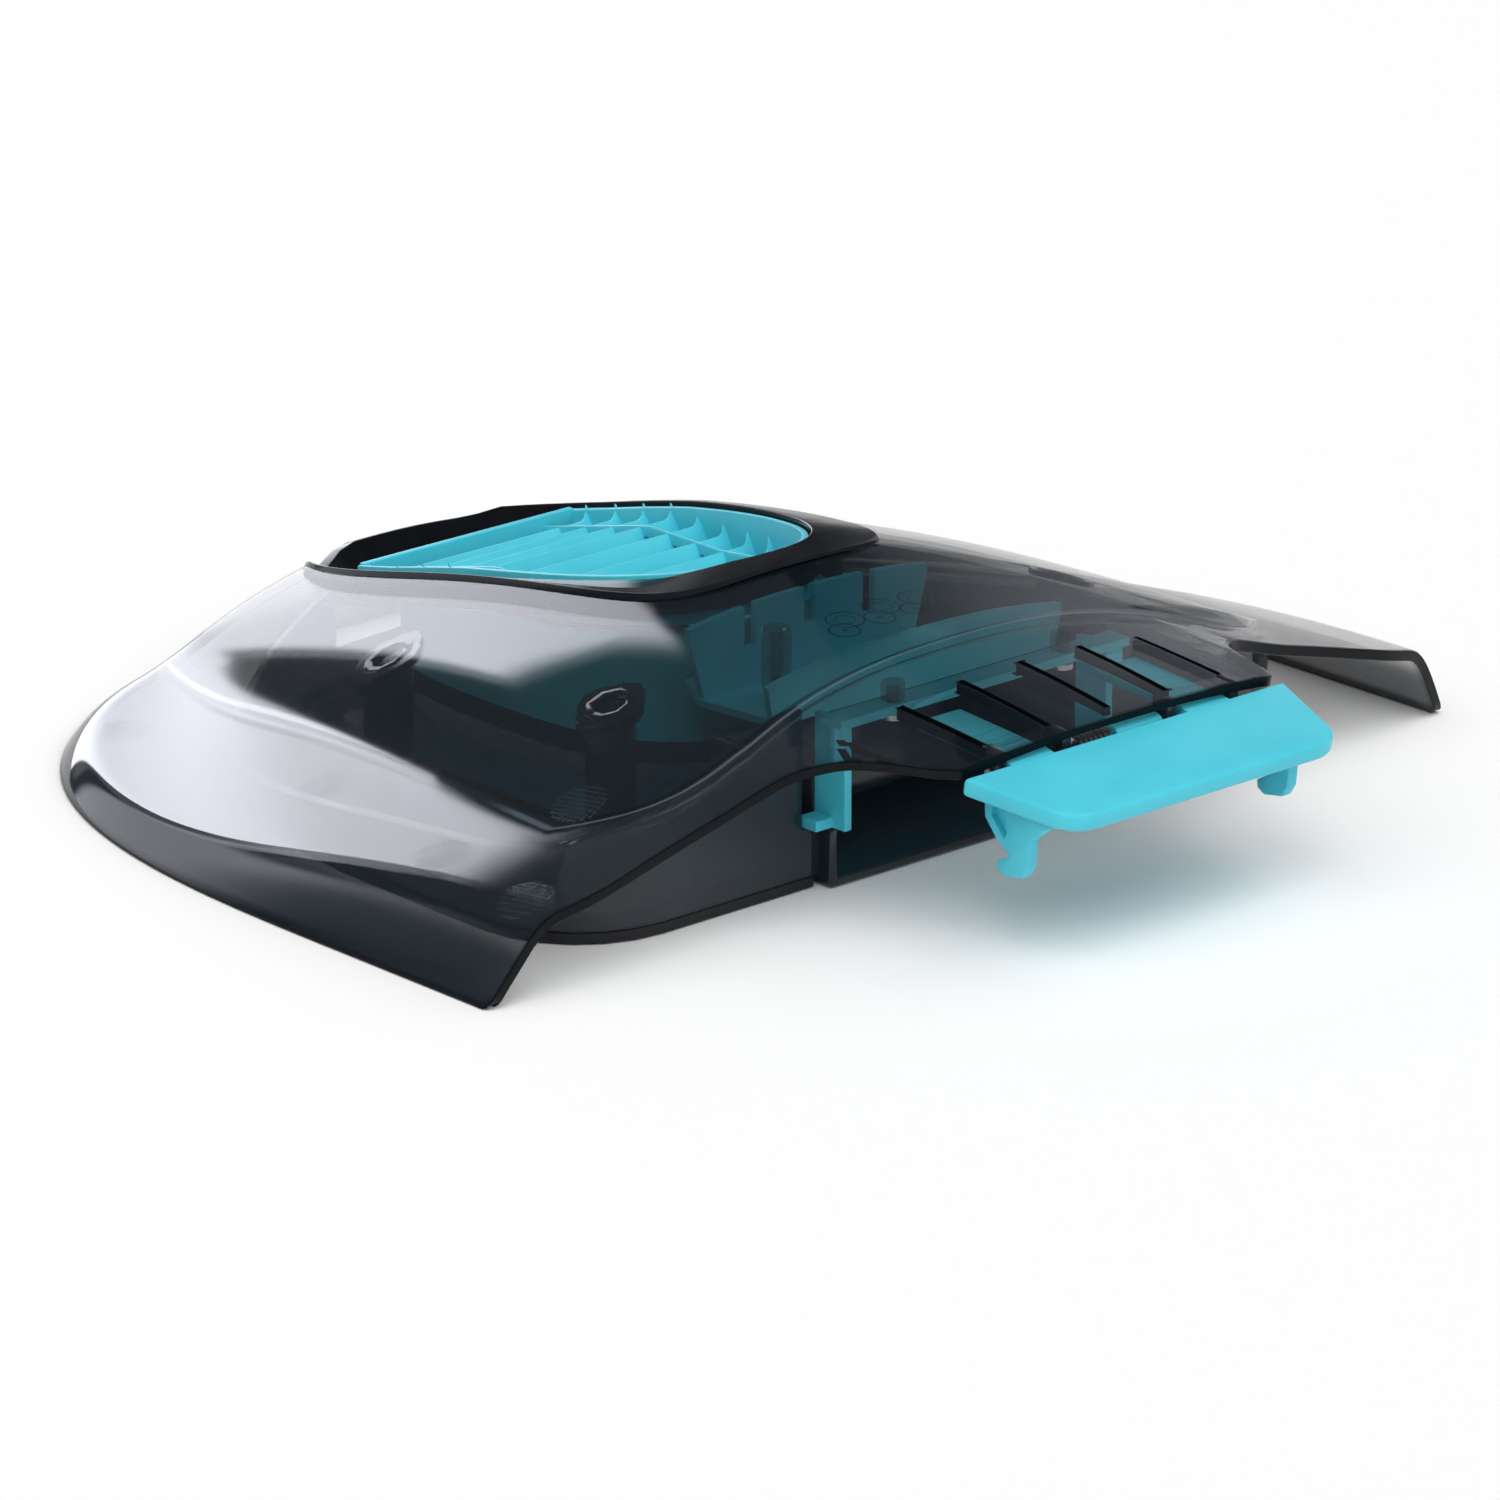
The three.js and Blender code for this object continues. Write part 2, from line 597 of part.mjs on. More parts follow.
function latchPaddle() {
  const tilt = Math.atan2(paddle.backZ - paddle.frontZ, paddle.backY - paddle.frontY);
  const length = Math.hypot(paddle.backZ - paddle.frontZ, paddle.backY - paddle.frontY);
  const outline = new THREE.Shape();
  outline.moveTo(-paddle.backW, 0);
  outline.lineTo(-paddle.frontW - 2, -length + paddle.corner);
  outline.quadraticCurveTo(-paddle.frontW, -length, -paddle.frontW + paddle.corner, -length);
  outline.lineTo(paddle.frontW - paddle.corner, -length);
  outline.quadraticCurveTo(paddle.frontW, -length, paddle.frontW + 2, -length + paddle.corner);
  outline.lineTo(paddle.backW, 0);
  const { bevel } = paddle;
  const plate = new THREE.ExtrudeGeometry(outline, {
    depth: paddle.thickness - 2 * bevel, curveSegments: 6,
    bevelSize: bevel, bevelThickness: bevel, bevelOffset: -bevel, bevelSegments: 1,
  }).translate(0, 0, bevel - paddle.thickness).rotateX(tilt).translate(0, paddle.backY, paddle.backZ);
  const hook = [[-52, 44], [-50.5, 42.5], [-48.6, 39.4], [-48.8, 34.6], [-53.3, 29.4], [-57.7, 26.6],
    [-55.6, 25.3], [-53.2, 24], [-53.4, 21.8], [-55.9, 20.5], [-62.3, 21.6], [-64.1, 24.6], [-64.9, 32],
    [-70, 36.2], [-76, 38.8], [-76, 40.5]];
  const window = [[-60.8, 29.5], [-60.8, 37.4], [-52.4, 37], [-53.5, 34.5]];
  const tail = [[-53, 44], [-53, 46.4], [-50, 46.8], [-44, 47.3], [-14, 49], [-14, 46.8], [-44, 45]];
  const parts = [plate];
  for (const side of [-1, 1]) {
    const span = ([a, b]) => [Math.min(side * a, side * b), Math.max(side * a, side * b)];
    parts.push(sidePlate(hook, ...span(hookX), [window]));
    parts.push(sidePlate(tail, ...span(tailX)));
    parts.push(crossbar(hinge.barrel, ...span(tailX)));
  }
  parts.push(crossbar(hinge.barrel, ...knuckleX), box(...knuckleX, -53, hinge.y, 42.2, 45.6));
  for (const [from, to] of toothX) parts.push(box(from, to, -53, -48.9, 42.2, 47.2));
  return join(...parts).subtract(toSolid(crossbar(hinge.bore, -60, 60)));
}

// Least clear distance between points of the wire that are over half a turn apart
function leastGap(path) {
  let least = Infinity;
  for (let i = 0; i < path.length; i++) {
    for (let j = i + spring.steps / 2 + 1; j < path.length; j++) {
      least = Math.min(least, path[i].distanceTo(path[j]) - 2 * spring.wire);
    }
  }
  return least;
}

// Torsion spring on the pin: one unbroken wire with a leg at each end
function latchSpring() {
  const half = (spring.turns * spring.pitch) / 2;
  const path = [];
  const at = (x, y, z) => new THREE.Vector3(spring.x + x, hinge.y + y, hinge.z + z);
  const steps = spring.turns * spring.steps;
  path.push(at(-half, 11, 2.4), at(-half, 4, spring.radius));
  for (let i = 0; i <= steps; i++) {
    const t = Math.PI / 2 + (i / spring.steps) * 2 * Math.PI;
    const x = -half + (spring.pitch * i) / spring.steps;
    path.push(at(x, spring.radius * Math.cos(t), spring.radius * Math.sin(t)));
  }
  path.push(at(half, -3, spring.radius));
  const sections = path.map((p, i) => {
    const along = path[Math.min(i + 1, path.length - 1)].clone().sub(path[Math.max(i - 1, 0)]).normalize();
    const across = new THREE.Vector3(1, 0, 0).addScaledVector(along, -along.x).normalize();
    const up = along.clone().cross(across);
    return Array.from({ length: spring.sides }, (_, k) => {
      const t = (k / spring.sides) * 2 * Math.PI;
      const out = across.clone().multiplyScalar(Math.cos(t)).addScaledVector(up, Math.sin(t));
      return p.clone().addScaledVector(out, spring.wire);
    });
  });
  console.log(`latch_spring: least gap to itself ${leastGap(path).toFixed(2)} mm`);
  return toSolid(loft(sections, false));
}

// Pan-head screw driven upwards, its head's top face at seatZ
function screw(x, y, seatZ, head, shank, length) {
  const shaft = upright(x, y, shank, seatZ - 0.5, seatZ + length, 12);
  return join(upright(x, y, head, seatZ - 2, seatZ, 16), shaft);
}

const lid = new THREE.Group();
lid.position.y = -centreY;

function place(name, solid, finish) {
  const mesh = new THREE.Mesh(toGeometry(solid), finishes[finish]());
  mesh.name = name;
  lid.add(mesh);
}

place('hood_shell', hoodShell(), 'smoked');
place('outlet_bezel', outletBezel(), 'black');
place('outlet_grille', outletGrille(), 'turquoise');
place('outlet_duct', outletDuct(), 'turquoise');
place('pocket_arch', pocketArch(), 'turquoise');
place('lower_frame', lowerFrame(), 'smoked');
place('latch_pocket', latchPocket(), 'smoked');
place('frame_seal', frameSeal(), 'rubber');
place('duct_seal', ductSeal(), 'rubber');
place('latch_paddle', latchPaddle(), 'turquoise');
place('latch_hinge_pin', toSolid(crossbar(hinge.pin, -43.4, 43.4)), 'steel');
place('latch_spring', latchSpring(), 'steel');
posts.forEach(([x, y], i) => {
  place(`frame_screw_${i + 1}`, screw(x, y, frame.deckZ - gap, 3.5, 1.6, 16), 'steel');
});
ductBosses.forEach(([x, y], i) => {
  place(`duct_screw_${i + 1}`, screw(x, y, ductDeckZ(y) - 1.6 - gap, 3, 1.25, 9), 'steel');
});
guideBosses.forEach(([x, y], i) => {
  place(`arch_screw_${i + 1}`, screw(x, y, guideBarZ - gap, 3, 1.25, 4), 'steel');
});

export default lid;
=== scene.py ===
import math
import bmesh
import bpy
from mathutils import Matrix, Vector


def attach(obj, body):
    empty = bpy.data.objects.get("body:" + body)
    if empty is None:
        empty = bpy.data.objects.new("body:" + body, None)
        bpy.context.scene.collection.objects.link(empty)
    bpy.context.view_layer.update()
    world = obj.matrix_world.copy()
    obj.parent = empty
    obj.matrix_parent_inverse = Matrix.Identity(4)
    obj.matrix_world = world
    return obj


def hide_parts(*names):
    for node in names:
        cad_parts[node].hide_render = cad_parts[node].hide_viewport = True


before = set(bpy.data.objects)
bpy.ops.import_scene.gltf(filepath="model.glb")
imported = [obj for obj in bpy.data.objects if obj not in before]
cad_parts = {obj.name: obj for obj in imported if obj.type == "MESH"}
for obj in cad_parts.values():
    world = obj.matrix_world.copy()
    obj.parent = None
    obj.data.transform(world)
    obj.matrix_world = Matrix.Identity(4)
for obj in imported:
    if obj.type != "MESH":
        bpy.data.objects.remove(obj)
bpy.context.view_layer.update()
mm = 0.001
centreY = 89  # plan sizes below are measured from behind the latch; the frame's origin is at y 89


def at(x, y, z):
    return Vector((x, y - centreY, z)) * mm


# Smooth curves in plan and height, in millimetres

def softMax(a, b, radius):
    near = max(radius - abs(a - b), 0) / radius
    return max(a, b) + near * near * radius / 4


def softMin(a, b, radius):
    return -softMax(-a, -b, radius)


def clamp(value, low, high):
    return min(max(value, low), high)


def signedPower(value, power):
    return math.copysign(abs(value) ** power, value)


def softCorners(points, radius, steps=3):
    # each corner of a closed row of points becomes a short curve
    result = []
    for i, corner in enumerate(points):
        before = points[i - 1] - corner
        after = points[(i + 1) % len(points)] - corner
        start = corner + before.normalized() * min(radius, before.length * 0.45)
        end = corner + after.normalized() * min(radius, after.length * 0.45)
        for k in range(steps + 1):
            t = k / steps
            result.append(start * (1 - t) ** 2 + corner * (2 * t * (1 - t)) + end * t * t)
    return result


def throughPoints(points, spacing):
    # smooth curve through the points, which leaves out the first and the last
    curve = []
    for a, b, c, d in zip(points, points[1:], points[2:], points[3:]):
        count = max(round((c - b).length / spacing), 2)
        for k in range(count):
            t = k / count
            leave = (c - a) * 0.5 * min(1, (c - b).length / max((b - a).length, 0.01))
            arrive = (d - b) * 0.5 * min(1, (c - b).length / max((d - c).length, 0.01))
            curve.append(b * (2 * t ** 3 - 3 * t * t + 1) + leave * (t ** 3 - 2 * t * t + t)
                         + c * (3 * t * t - 2 * t ** 3) + arrive * (t ** 3 - t * t))
    return curve


def evenly(points, spacing):
    # the same row of points, respaced along its length
    lengths = [0]
    for a, b in zip(points, points[1:]):
        lengths.append(lengths[-1] + (b - a).length)
    count = round(lengths[-1] / spacing)
    result = []
    i = 0
    for k in range(count + 1):
        want = lengths[-1] * k / count
        while i < len(points) - 2 and lengths[i + 1] < want:
            i += 1
        share = (want - lengths[i]) / max(lengths[i + 1] - lengths[i], 1e-9)
        result.append(points[i].lerp(points[i + 1], clamp(share, 0, 1)))
    return result


# Meshes

def skin(columns, rings, place, closed=True, cut=None):
    # a circle of vertices, extruded ring by ring and laid where place(column, ring) says;
    # cut(ring) marks the rings on the wall's cut edge, where smoked plastic looks darkest
    bm = bmesh.new()
    column = bm.verts.layers.int.new("column")
    edgeMark = bm.verts.layers.float.new("cutEdge")
    first = bmesh.ops.create_circle(bm, segments=columns, radius=1)["verts"]
    for i, v in enumerate(first):
        v[column] = i
        v.co = place(i, 0)
    edges = bm.edges[:]
    ends = edges[:]
    for ring in range(1, rings + 1 if closed else rings):
        made = bmesh.ops.extrude_edge_only(bm, edges=edges)["geom"]
        edges = [e for e in made if isinstance(e, bmesh.types.BMEdge) and e.is_boundary]
        for v in made:
            if isinstance(v, bmesh.types.BMVert):
                v.co = place(v[column], ring % rings)
                v[edgeMark] = cut(ring) if cut else 0
    if closed:
        bmesh.ops.remove_doubles(bm, verts=bm.verts[:], dist=1e-7)
    else:
        bmesh.ops.contextual_create(bm, geom=ends)
        bmesh.ops.contextual_create(bm, geom=edges)
    bmesh.ops.recalc_face_normals(bm, faces=bm.faces[:])
    return bm


def plate(outline, thickness, rounding, segments):
    # flat outline of vectors, thickened along its own normal, with all edges rounded
    bm = bmesh.new()
    face = bm.faces.new([bm.verts.new(p) for p in outline])
    face.normal_update()
    drop = face.normal * -thickness
    made = bmesh.ops.extrude_face_region(bm, geom=[face])["geom"]
    bmesh.ops.translate(bm, verts=[v for v in made if isinstance(v, bmesh.types.BMVert)], vec=drop)
    bmesh.ops.recalc_face_normals(bm, faces=bm.faces[:])
    if rounding:
        roundEdges(bm, rounding, segments)
    return bm


def roundEdges(bm, radius, segments=2, angle=30):
    sharp = [e for e in bm.edges if e.is_manifold and e.calc_face_angle(0) > math.radians(angle)]
    bmesh.ops.bevel(bm, geom=sharp, offset=radius, offset_type="OFFSET", affect="EDGES",
                    segments=segments, profile=0.5, material=-1, clamp_overlap=True)


def bar(fromX, toX, fromY, toY, fromZ, toZ, rounding=0.0003):
    bm = bmesh.new()
    mark = bm.verts.layers.float.new("cutEdge")
    low = at(fromX, fromY, fromZ)
    high = at(toX, toY, toZ)
    made = bmesh.ops.create_cube(bm, size=1)["verts"]
    bmesh.ops.scale(bm, verts=made, vec=high - low)
    bmesh.ops.translate(bm, verts=made, vec=(low + high) / 2)
    for v in made:
        v[mark] = 1
    if rounding:
        roundEdges(bm, rounding)
    return bm


def together(parts):
    # several closed forms in one mesh
    whole = bmesh.new()
    for part in parts:
        loose = bpy.data.meshes.new("loose")
        part.to_mesh(loose)
        part.free()
        whole.from_mesh(loose)
        bpy.data.meshes.remove(loose)
    return whole


def finish(name, bm, look, nodes=(), body="lid", angle=35):
    mesh = bpy.data.meshes.new(name)
    bm.to_mesh(mesh)
    bm.free()
    obj = bpy.data.objects.new(name, mesh)
    bpy.context.scene.collection.objects.link(obj)
    mesh.materials.append(look)
    mesh.polygons.foreach_set("use_smooth", [True] * len(mesh.polygons))
    mesh.set_sharp_from_angle(angle=math.radians(angle))
    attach(obj, body)
    if nodes:
        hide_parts(*nodes)
    return obj


def cutBy(obj, cutters, crossing=False):
    # boolean cuts, applied to the mesh; crossing forms are joined in one first
    tool = bpy.data.objects.new("cutter", bpy.data.meshes.new("cutter"))
    cutters.to_mesh(tool.data)
    cutters.free()
    bpy.context.scene.collection.objects.link(tool)
    cut = obj.modifiers.new("cut", "BOOLEAN")
    cut.operation = "DIFFERENCE"
    cut.solver = "EXACT"
    cut.use_self = crossing
    cut.object = tool
    seen = obj.evaluated_get(bpy.context.evaluated_depsgraph_get())
    mesh = bpy.data.meshes.new_from_object(seen)
    obj.modifiers.remove(cut)
    obj.data = mesh
    bpy.data.objects.remove(tool)


def roundedCopy(name, node, look, radius, angle=32):
    # the node's own form with rounded edges and smooth faces
    bm = bmesh.new()
    bm.from_mesh(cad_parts[node].data)
    bmesh.ops.remove_doubles(bm, verts=bm.verts[:], dist=1e-6)
    bmesh.ops.dissolve_limit(bm, angle_limit=math.radians(0.6), verts=bm.verts[:], edges=bm.edges[:])
    obj = finish(name, bm, look, [node], angle=angle)
    edge = obj.modifiers.new("edges", "BEVEL")
    edge.width = radius
    edge.segments = 2
    edge.limit_method = "ANGLE"
    edge.angle_limit = math.radians(angle)
    edge.harden_normals = False
    return obj


# Materials: a socket that takes arithmetic, and a look that makes the nodes

class Socket:
    def __init__(self, look, link):
        self.look = look
        self.link = link

    def calc(self, operation, first, second=0.0):
        return self.look.node("ShaderNodeMath", {"operation": operation}, {0: first, 1: second})

    def __add__(self, other):
        return self.calc("ADD", self, other)

    def __sub__(self, other):
        return self.calc("SUBTRACT", self, other)

    def __rsub__(self, other):
        return self.calc("SUBTRACT", other, self)

    def __mul__(self, other):
        return self.calc("MULTIPLY", self, other)

    def __abs__(self):
        return self.calc("ABSOLUTE", self)

    def sine(self):
        return self.calc("SINE", self)

    def most(self, other):
        return self.calc("MAXIMUM", self, other)

    def least(self, other):
        return self.calc("MINIMUM", self, other)

    def root(self):
        return self.calc("SQRT", self)

    def step(self, low, high):
        # 0 below low, 1 above high, smooth between
        return self.look.node("ShaderNodeMapRange", {"interpolation_type": "SMOOTHSTEP"},
                              {"Value": self, "From Min": low, "From Max": high})


class Look:
    def __init__(self, name):
        self.material = bpy.data.materials.new(name)
        self.material.use_nodes = True
        self.tree = self.material.node_tree
        self.shader = self.tree.nodes["Principled BSDF"]

    def node(self, kind, settings, sockets, out=0):
        made = self.tree.nodes.new(kind)
        for key, value in settings.items():
            setattr(made, key, value)
        for key, value in sockets.items():
            if isinstance(value, Socket):
                self.tree.links.new(value.link, made.inputs[key])
            else:
                made.inputs[key].default_value = value
        return Socket(self, made.outputs[out])

    def place(self):
        return self.node("ShaderNodeTexCoord", {}, {}, "Object")

    def axes(self, place):
        # x, y and z of a vector, in millimetres
        return [self.node("ShaderNodeSeparateXYZ", {}, {0: place}, i) * 1000 for i in range(3)]

    def vector(self, x, y, z):
        return self.node("ShaderNodeCombineXYZ", {}, {0: x, 1: y, 2: z})

    def noise(self, place, scale, detail=2.0, roughness=0.5):
        return self.node("ShaderNodeTexNoise", {},
                         {"Vector": place, "Scale": scale, "Detail": detail, "Roughness": roughness})

    def attribute(self, name):
        return self.node("ShaderNodeAttribute", {"attribute_name": name}, {}, "Fac")

    def distance(self, place, centre):
        return self.node("ShaderNodeVectorMath", {"operation": "DISTANCE"}, {0: place, 1: centre}, "Value")

    def mix(self, share, first, second):
        return self.node("ShaderNodeMix", {"data_type": "RGBA"}, {0: share, 6: first, 7: second}, 2)

    def bump(self, height, depth, strength=1.0):
        return self.node("ShaderNodeBump", {}, {"Height": height, "Distance": depth, "Strength": strength})

    def wear(self, **values):
        for name, value in values.items():
            socket = self.shader.inputs[{"Base": "Base Color", "Ior": "IOR"}.get(name, name)]
            if isinstance(value, Socket):
                self.tree.links.new(value.link, socket)
            else:
                socket.default_value = value
        return self.material


smoked = {
    "tint": (0.010, 0.018, 0.026, 1),
    # dark tint of the moulded marks and of the painted shade line under the crease
    "markAndShadeTint": (0.003, 0.005, 0.007, 1),
    # light tint of the painted highlights: the glint line and the discs' hatch lines
    "glintTint": (0.1, 0.13, 0.16, 1),
    "roughness": 0.055,
    "mottleRoughness": 0.02,
    "ior": 1.6,
    "bumpDepth": 0.00003,
    "bumpStrength": 0.4,
    # the plain shell's alpha, and what the marks add to it or take from it, the painted crease shade, the
    # painted glint highlight and the low flare's painted shade among them
    "alpha": 0.44,
    "markAndShadeDarker": 0.32,
    "glintDarker": 0.25,
    # painted shade: the flare grows less see-through, so darker, towards its foot
    "flarePaintedShade": 0.34,
    "flareFade": (10, 17),
    "discClearer": 0.05,
    "windowClearer": 0.18,
    "mostAlpha": 0.97,
    # cut edges, which look nearly black and duller
    "edgeTint": (0.003, 0.004, 0.006, 1),
    "edgeRoughness": 0.3,
    "edgeSpecular": 0.12,
    # moulding discs, as distance from the middle plane, place along the lid and height
    "discs": [(119.5, 206.4, 8.9), (128.8, 112.1, 19.9), (114.7, 28.9, 33.9), (150.8, 7.2, 23),
              (144.9, 46.2, 22.7), (60.5, -6, 49), (0, 22.1, 57.5), (0, -38.6, 53.9)],
    "discRadius": 7.6,
    "hatchPitch": 1.5,
    "hatchLean": 0.12,
    "lineEdge": (0.12, 0.45),
    "stamps": [(-16.3, 36.8, 58.3), (-2.9, 37.9, 58.6), (9.2, 37.2, 58.6)],
    "stampRadius": 5,
    "stampInner": 0.55,
    # outlines round the tails, as half size and centre, and the clearer window inside them
    "pads": [((9.6, 14.4), (31.2, -30.5)), ((10.6, 12), (31.2, -25))],
    "padCorner": 3.5,
    "windowCentre": (31.2, -28),
    "windowHalf": (9, 15),
    "windowCorner": 3,
    # lines under the crease, a painted shade line and below it a painted highlight (the glint): how far
    # below it, how soft, and where along the lid they start and end
    "creaseShadeBelow": 0.5,
    "creaseShadeEdge": (0.2, 0.7),
    "glintBelow": 1.6,
    "glintEdge": (0.1, 0.5),
    "creaseFrom": (-40, -30),
    "glintTo": (40, 60),
}


def roundedRectangle(x, y, centre, half, corner):
    # distance outside a rounded rectangle, in the units of x and y
    across = abs(x - centre[0]) - (half[0] - corner)
    along = abs(y - centre[1]) - (half[1] - corner)
    outX = across.most(0)
    outY = along.most(0)
    return (outX * outX + outY * outY).root() + across.most(along).least(0) - corner


def smokedShell():
    look = Look("smokedShell")
    place = look.place()
    x, y, z = look.axes(place)
    y = y + centreY
    side = abs(x)
    folded = look.vector(side, y, z)
    nearest = None
    for centre in smoked["discs"]:
        far = look.distance(folded, centre)
        nearest = far if nearest is None else nearest.least(far)
    disc = 1 - nearest.step(smoked["discRadius"] - 0.2, smoked["discRadius"] + 0.2)
    pitch = math.pi / smoked["hatchPitch"]
    lean = smoked["hatchLean"]
    lines = abs(((x + y * lean) * pitch).sine()).least(abs(((y - x * lean) * pitch).sine()))
    hatch = disc * (1 - lines.step(*smoked["lineEdge"]))
    whole = look.vector(x, y, z)
    stamp = None
    for centre in smoked["stamps"]:
        far = look.distance(whole, centre)
        ring = 1 - abs(far - smoked["stampRadius"]).step(0.1, 0.45)
        inner = 1 - abs(far - smoked["stampRadius"] * smoked["stampInner"]).step(0.1, 0.4)
        both = ring.most(inner * 0.7)
        stamp = both if stamp is None else stamp.most(both)
    pads = None
    for half, centre in smoked["pads"]:
        away = abs(roundedRectangle(side, y, centre, half, smoked["padCorner"]))
        line = 1 - away.step(*smoked["lineEdge"])
        pads = line if pads is None else pads.most(line * 0.6)
    window = roundedRectangle(side, y, smoked["windowCentre"], smoked["windowHalf"], smoked["windowCorner"])
    clear = 1 - window.step(-0.3, 0.3)
    marks = stamp.most(pads * 0.7)
    mottle = look.noise(place, 60, 3)
    edge = look.attribute("cutEdge").step(0.1, 0.9).most(look.attribute("slotWall"))
    below = look.attribute("crease")
    start = y.step(*smoked["creaseFrom"])
    # painted shade: a dark, less see-through line just under the crease step
    creaseShade = (1 - abs(below + smoked["creaseShadeBelow"]).step(*smoked["creaseShadeEdge"])) * start
    # painted highlight: a light line further under the crease
    glint = 1 - abs(below + smoked["glintBelow"]).step(*smoked["glintEdge"])
    glint = glint * (1 - y.step(*smoked["glintTo"])) * start
    # painted shade on the flare: less see-through, so darker, towards its foot
    slatThickOrFlareShade = 1 - z.step(*smoked["flareFade"])
    # dark tint for the moulded marks and for the painted crease shade
    base = look.mix(creaseShade.most(marks * 0.8), smoked["tint"], smoked["markAndShadeTint"])
    # painted highlight: the glint line and the hatch lines on the discs are lightened with the glint tint
    base = look.mix(glint.most(hatch * 0.5), base, smoked["glintTint"])
    alpha = marks.most(creaseShade) * smoked["markAndShadeDarker"] - disc * smoked["discClearer"]
    alpha = alpha + glint * smoked["glintDarker"] + smoked["alpha"] + slatThickOrFlareShade * smoked["flarePaintedShade"]
    look.wear(Base=base, Alpha=(alpha - clear * smoked["windowClearer"]).least(smoked["mostAlpha"]),
              Roughness=(mottle - 0.5) * smoked["mottleRoughness"] + smoked["roughness"],
              Ior=smoked["ior"],
              Normal=look.bump(marks * -1 + hatch * 0.6 + mottle * 0.2, smoked["bumpDepth"],
                               smoked["bumpStrength"]))
    dull = look.tree.nodes.new("ShaderNodeBsdfPrincipled")
    dull.inputs["Base Color"].default_value = smoked["edgeTint"]
    dull.inputs["Roughness"].default_value = smoked["edgeRoughness"]
    dull.inputs["Specular IOR Level"].default_value = smoked["edgeSpecular"]
    either = look.tree.nodes.new("ShaderNodeMixShader")
    look.tree.links.new(edge.link, either.inputs[0])
    look.tree.links.new(look.shader.outputs[0], either.inputs[1])
    look.tree.links.new(dull.outputs[0], either.inputs[2])
    look.tree.links.new(either.outputs[0], look.tree.nodes["Material Output"].inputs["Surface"])
    return look.material


# alpha and tint of the smoked pieces inside the shell
denser = {
    "posts": (0.8, (0.012, 0.017, 0.022, 1)),
    "bosses": (0.3, (0.02, 0.06, 0.075, 1)),
    "frame": (0.72, (0.016, 0.025, 0.036, 1)),
}


def smokedDense(name, alpha, tint):
    look = Look(name)
    cloud = look.noise(look.place(), 90, 3)
    look.wear(Base=tint, Alpha=alpha, Ior=smoked["ior"], Roughness=cloud * 0.05 + 0.07,
              Normal=look.bump(cloud, 0.00012, 0.3))
    return look.material


blackPlastic = {"dark": (0.006, 0.007, 0.009, 1), "light": (0.014, 0.016, 0.019, 1), "ior": 1.2}


def blackGloss():
    look = Look("blackGloss")
    cloud = look.noise(look.place(), 160, 4)
    look.wear(Base=look.mix(cloud, blackPlastic["dark"], blackPlastic["light"]),
              Roughness=cloud * 0.06 + 0.14, Ior=blackPlastic["ior"],
              Normal=look.bump(cloud, 0.00008, 0.25))
    return look.material


turquoise = {"base": (0.075, 0.6, 0.735, 1), "deep": (0.06, 0.55, 0.685, 1), "ior": 1.46}


def turquoisePlastic(name, streaks):
    look = Look(name)
    place = look.place()
    x, y, z = look.axes(place)
    cloud = look.noise(place, 45, 3)
    grain = look.noise(place, 1400, 2)
    height = grain * 0.4
    rough = grain * 0.1 + 0.4
    if streaks:
        brushed = look.noise(look.vector(x * 0.06, y * 1.7, z * 1.7), 1, 3, 0.6)
        height = height + brushed * 0.9
        rough = rough + brushed * 0.12 - 0.06
    look.wear(Base=look.mix(cloud.step(0.3, 0.7), turquoise["base"], turquoise["deep"]),
              Roughness=rough, Ior=turquoise["ior"], Normal=look.bump(height, 0.00012, 0.35))
    return look.material


steel = {"dark": (0.52, 0.53, 0.55, 1), "light": (0.66, 0.67, 0.69, 1)}


def steelWire():
    look = Look("steelWire")
    x, y, z = look.axes(look.place())
    drawn = look.noise(look.vector(x * 2.4, y * 0.5, z * 0.5), 1, 2)
    look.wear(Base=look.mix(drawn, steel["dark"], steel["light"]), Metallic=1.0,
              Roughness=drawn * 0.18 + 0.22, Normal=look.bump(drawn, 0.00004, 0.4))
    return look.material


rubber = {"dark": (0.010, 0.011, 0.013, 1), "light": (0.02, 0.021, 0.024, 1)}


def sealRubber():
    look = Look("sealRubber")
    grain = look.noise(look.place(), 900, 3)
    look.wear(Base=look.mix(grain, rubber["dark"], rubber["light"]),
              Roughness=grain * 0.2 + 0.6, Normal=look.bump(grain, 0.00015, 0.5))
    return look.material


looks = {
    "shell": smokedShell(),
    "posts": smokedDense("smokedPosts", *denser["posts"]),
    "faint": smokedDense("smokedBosses", *denser["bosses"]),
    "frame": smokedDense("smokedFrame", *denser["frame"]),
    "black": blackGloss(),
    "turquoise": turquoisePlastic("turquoisePlastic", False),
    "paddle": turquoisePlastic("turquoisePaddle", True),
    "steel": steelWire(),
    "rubber": sealRubber(),
}
print("materials made")

# Shell

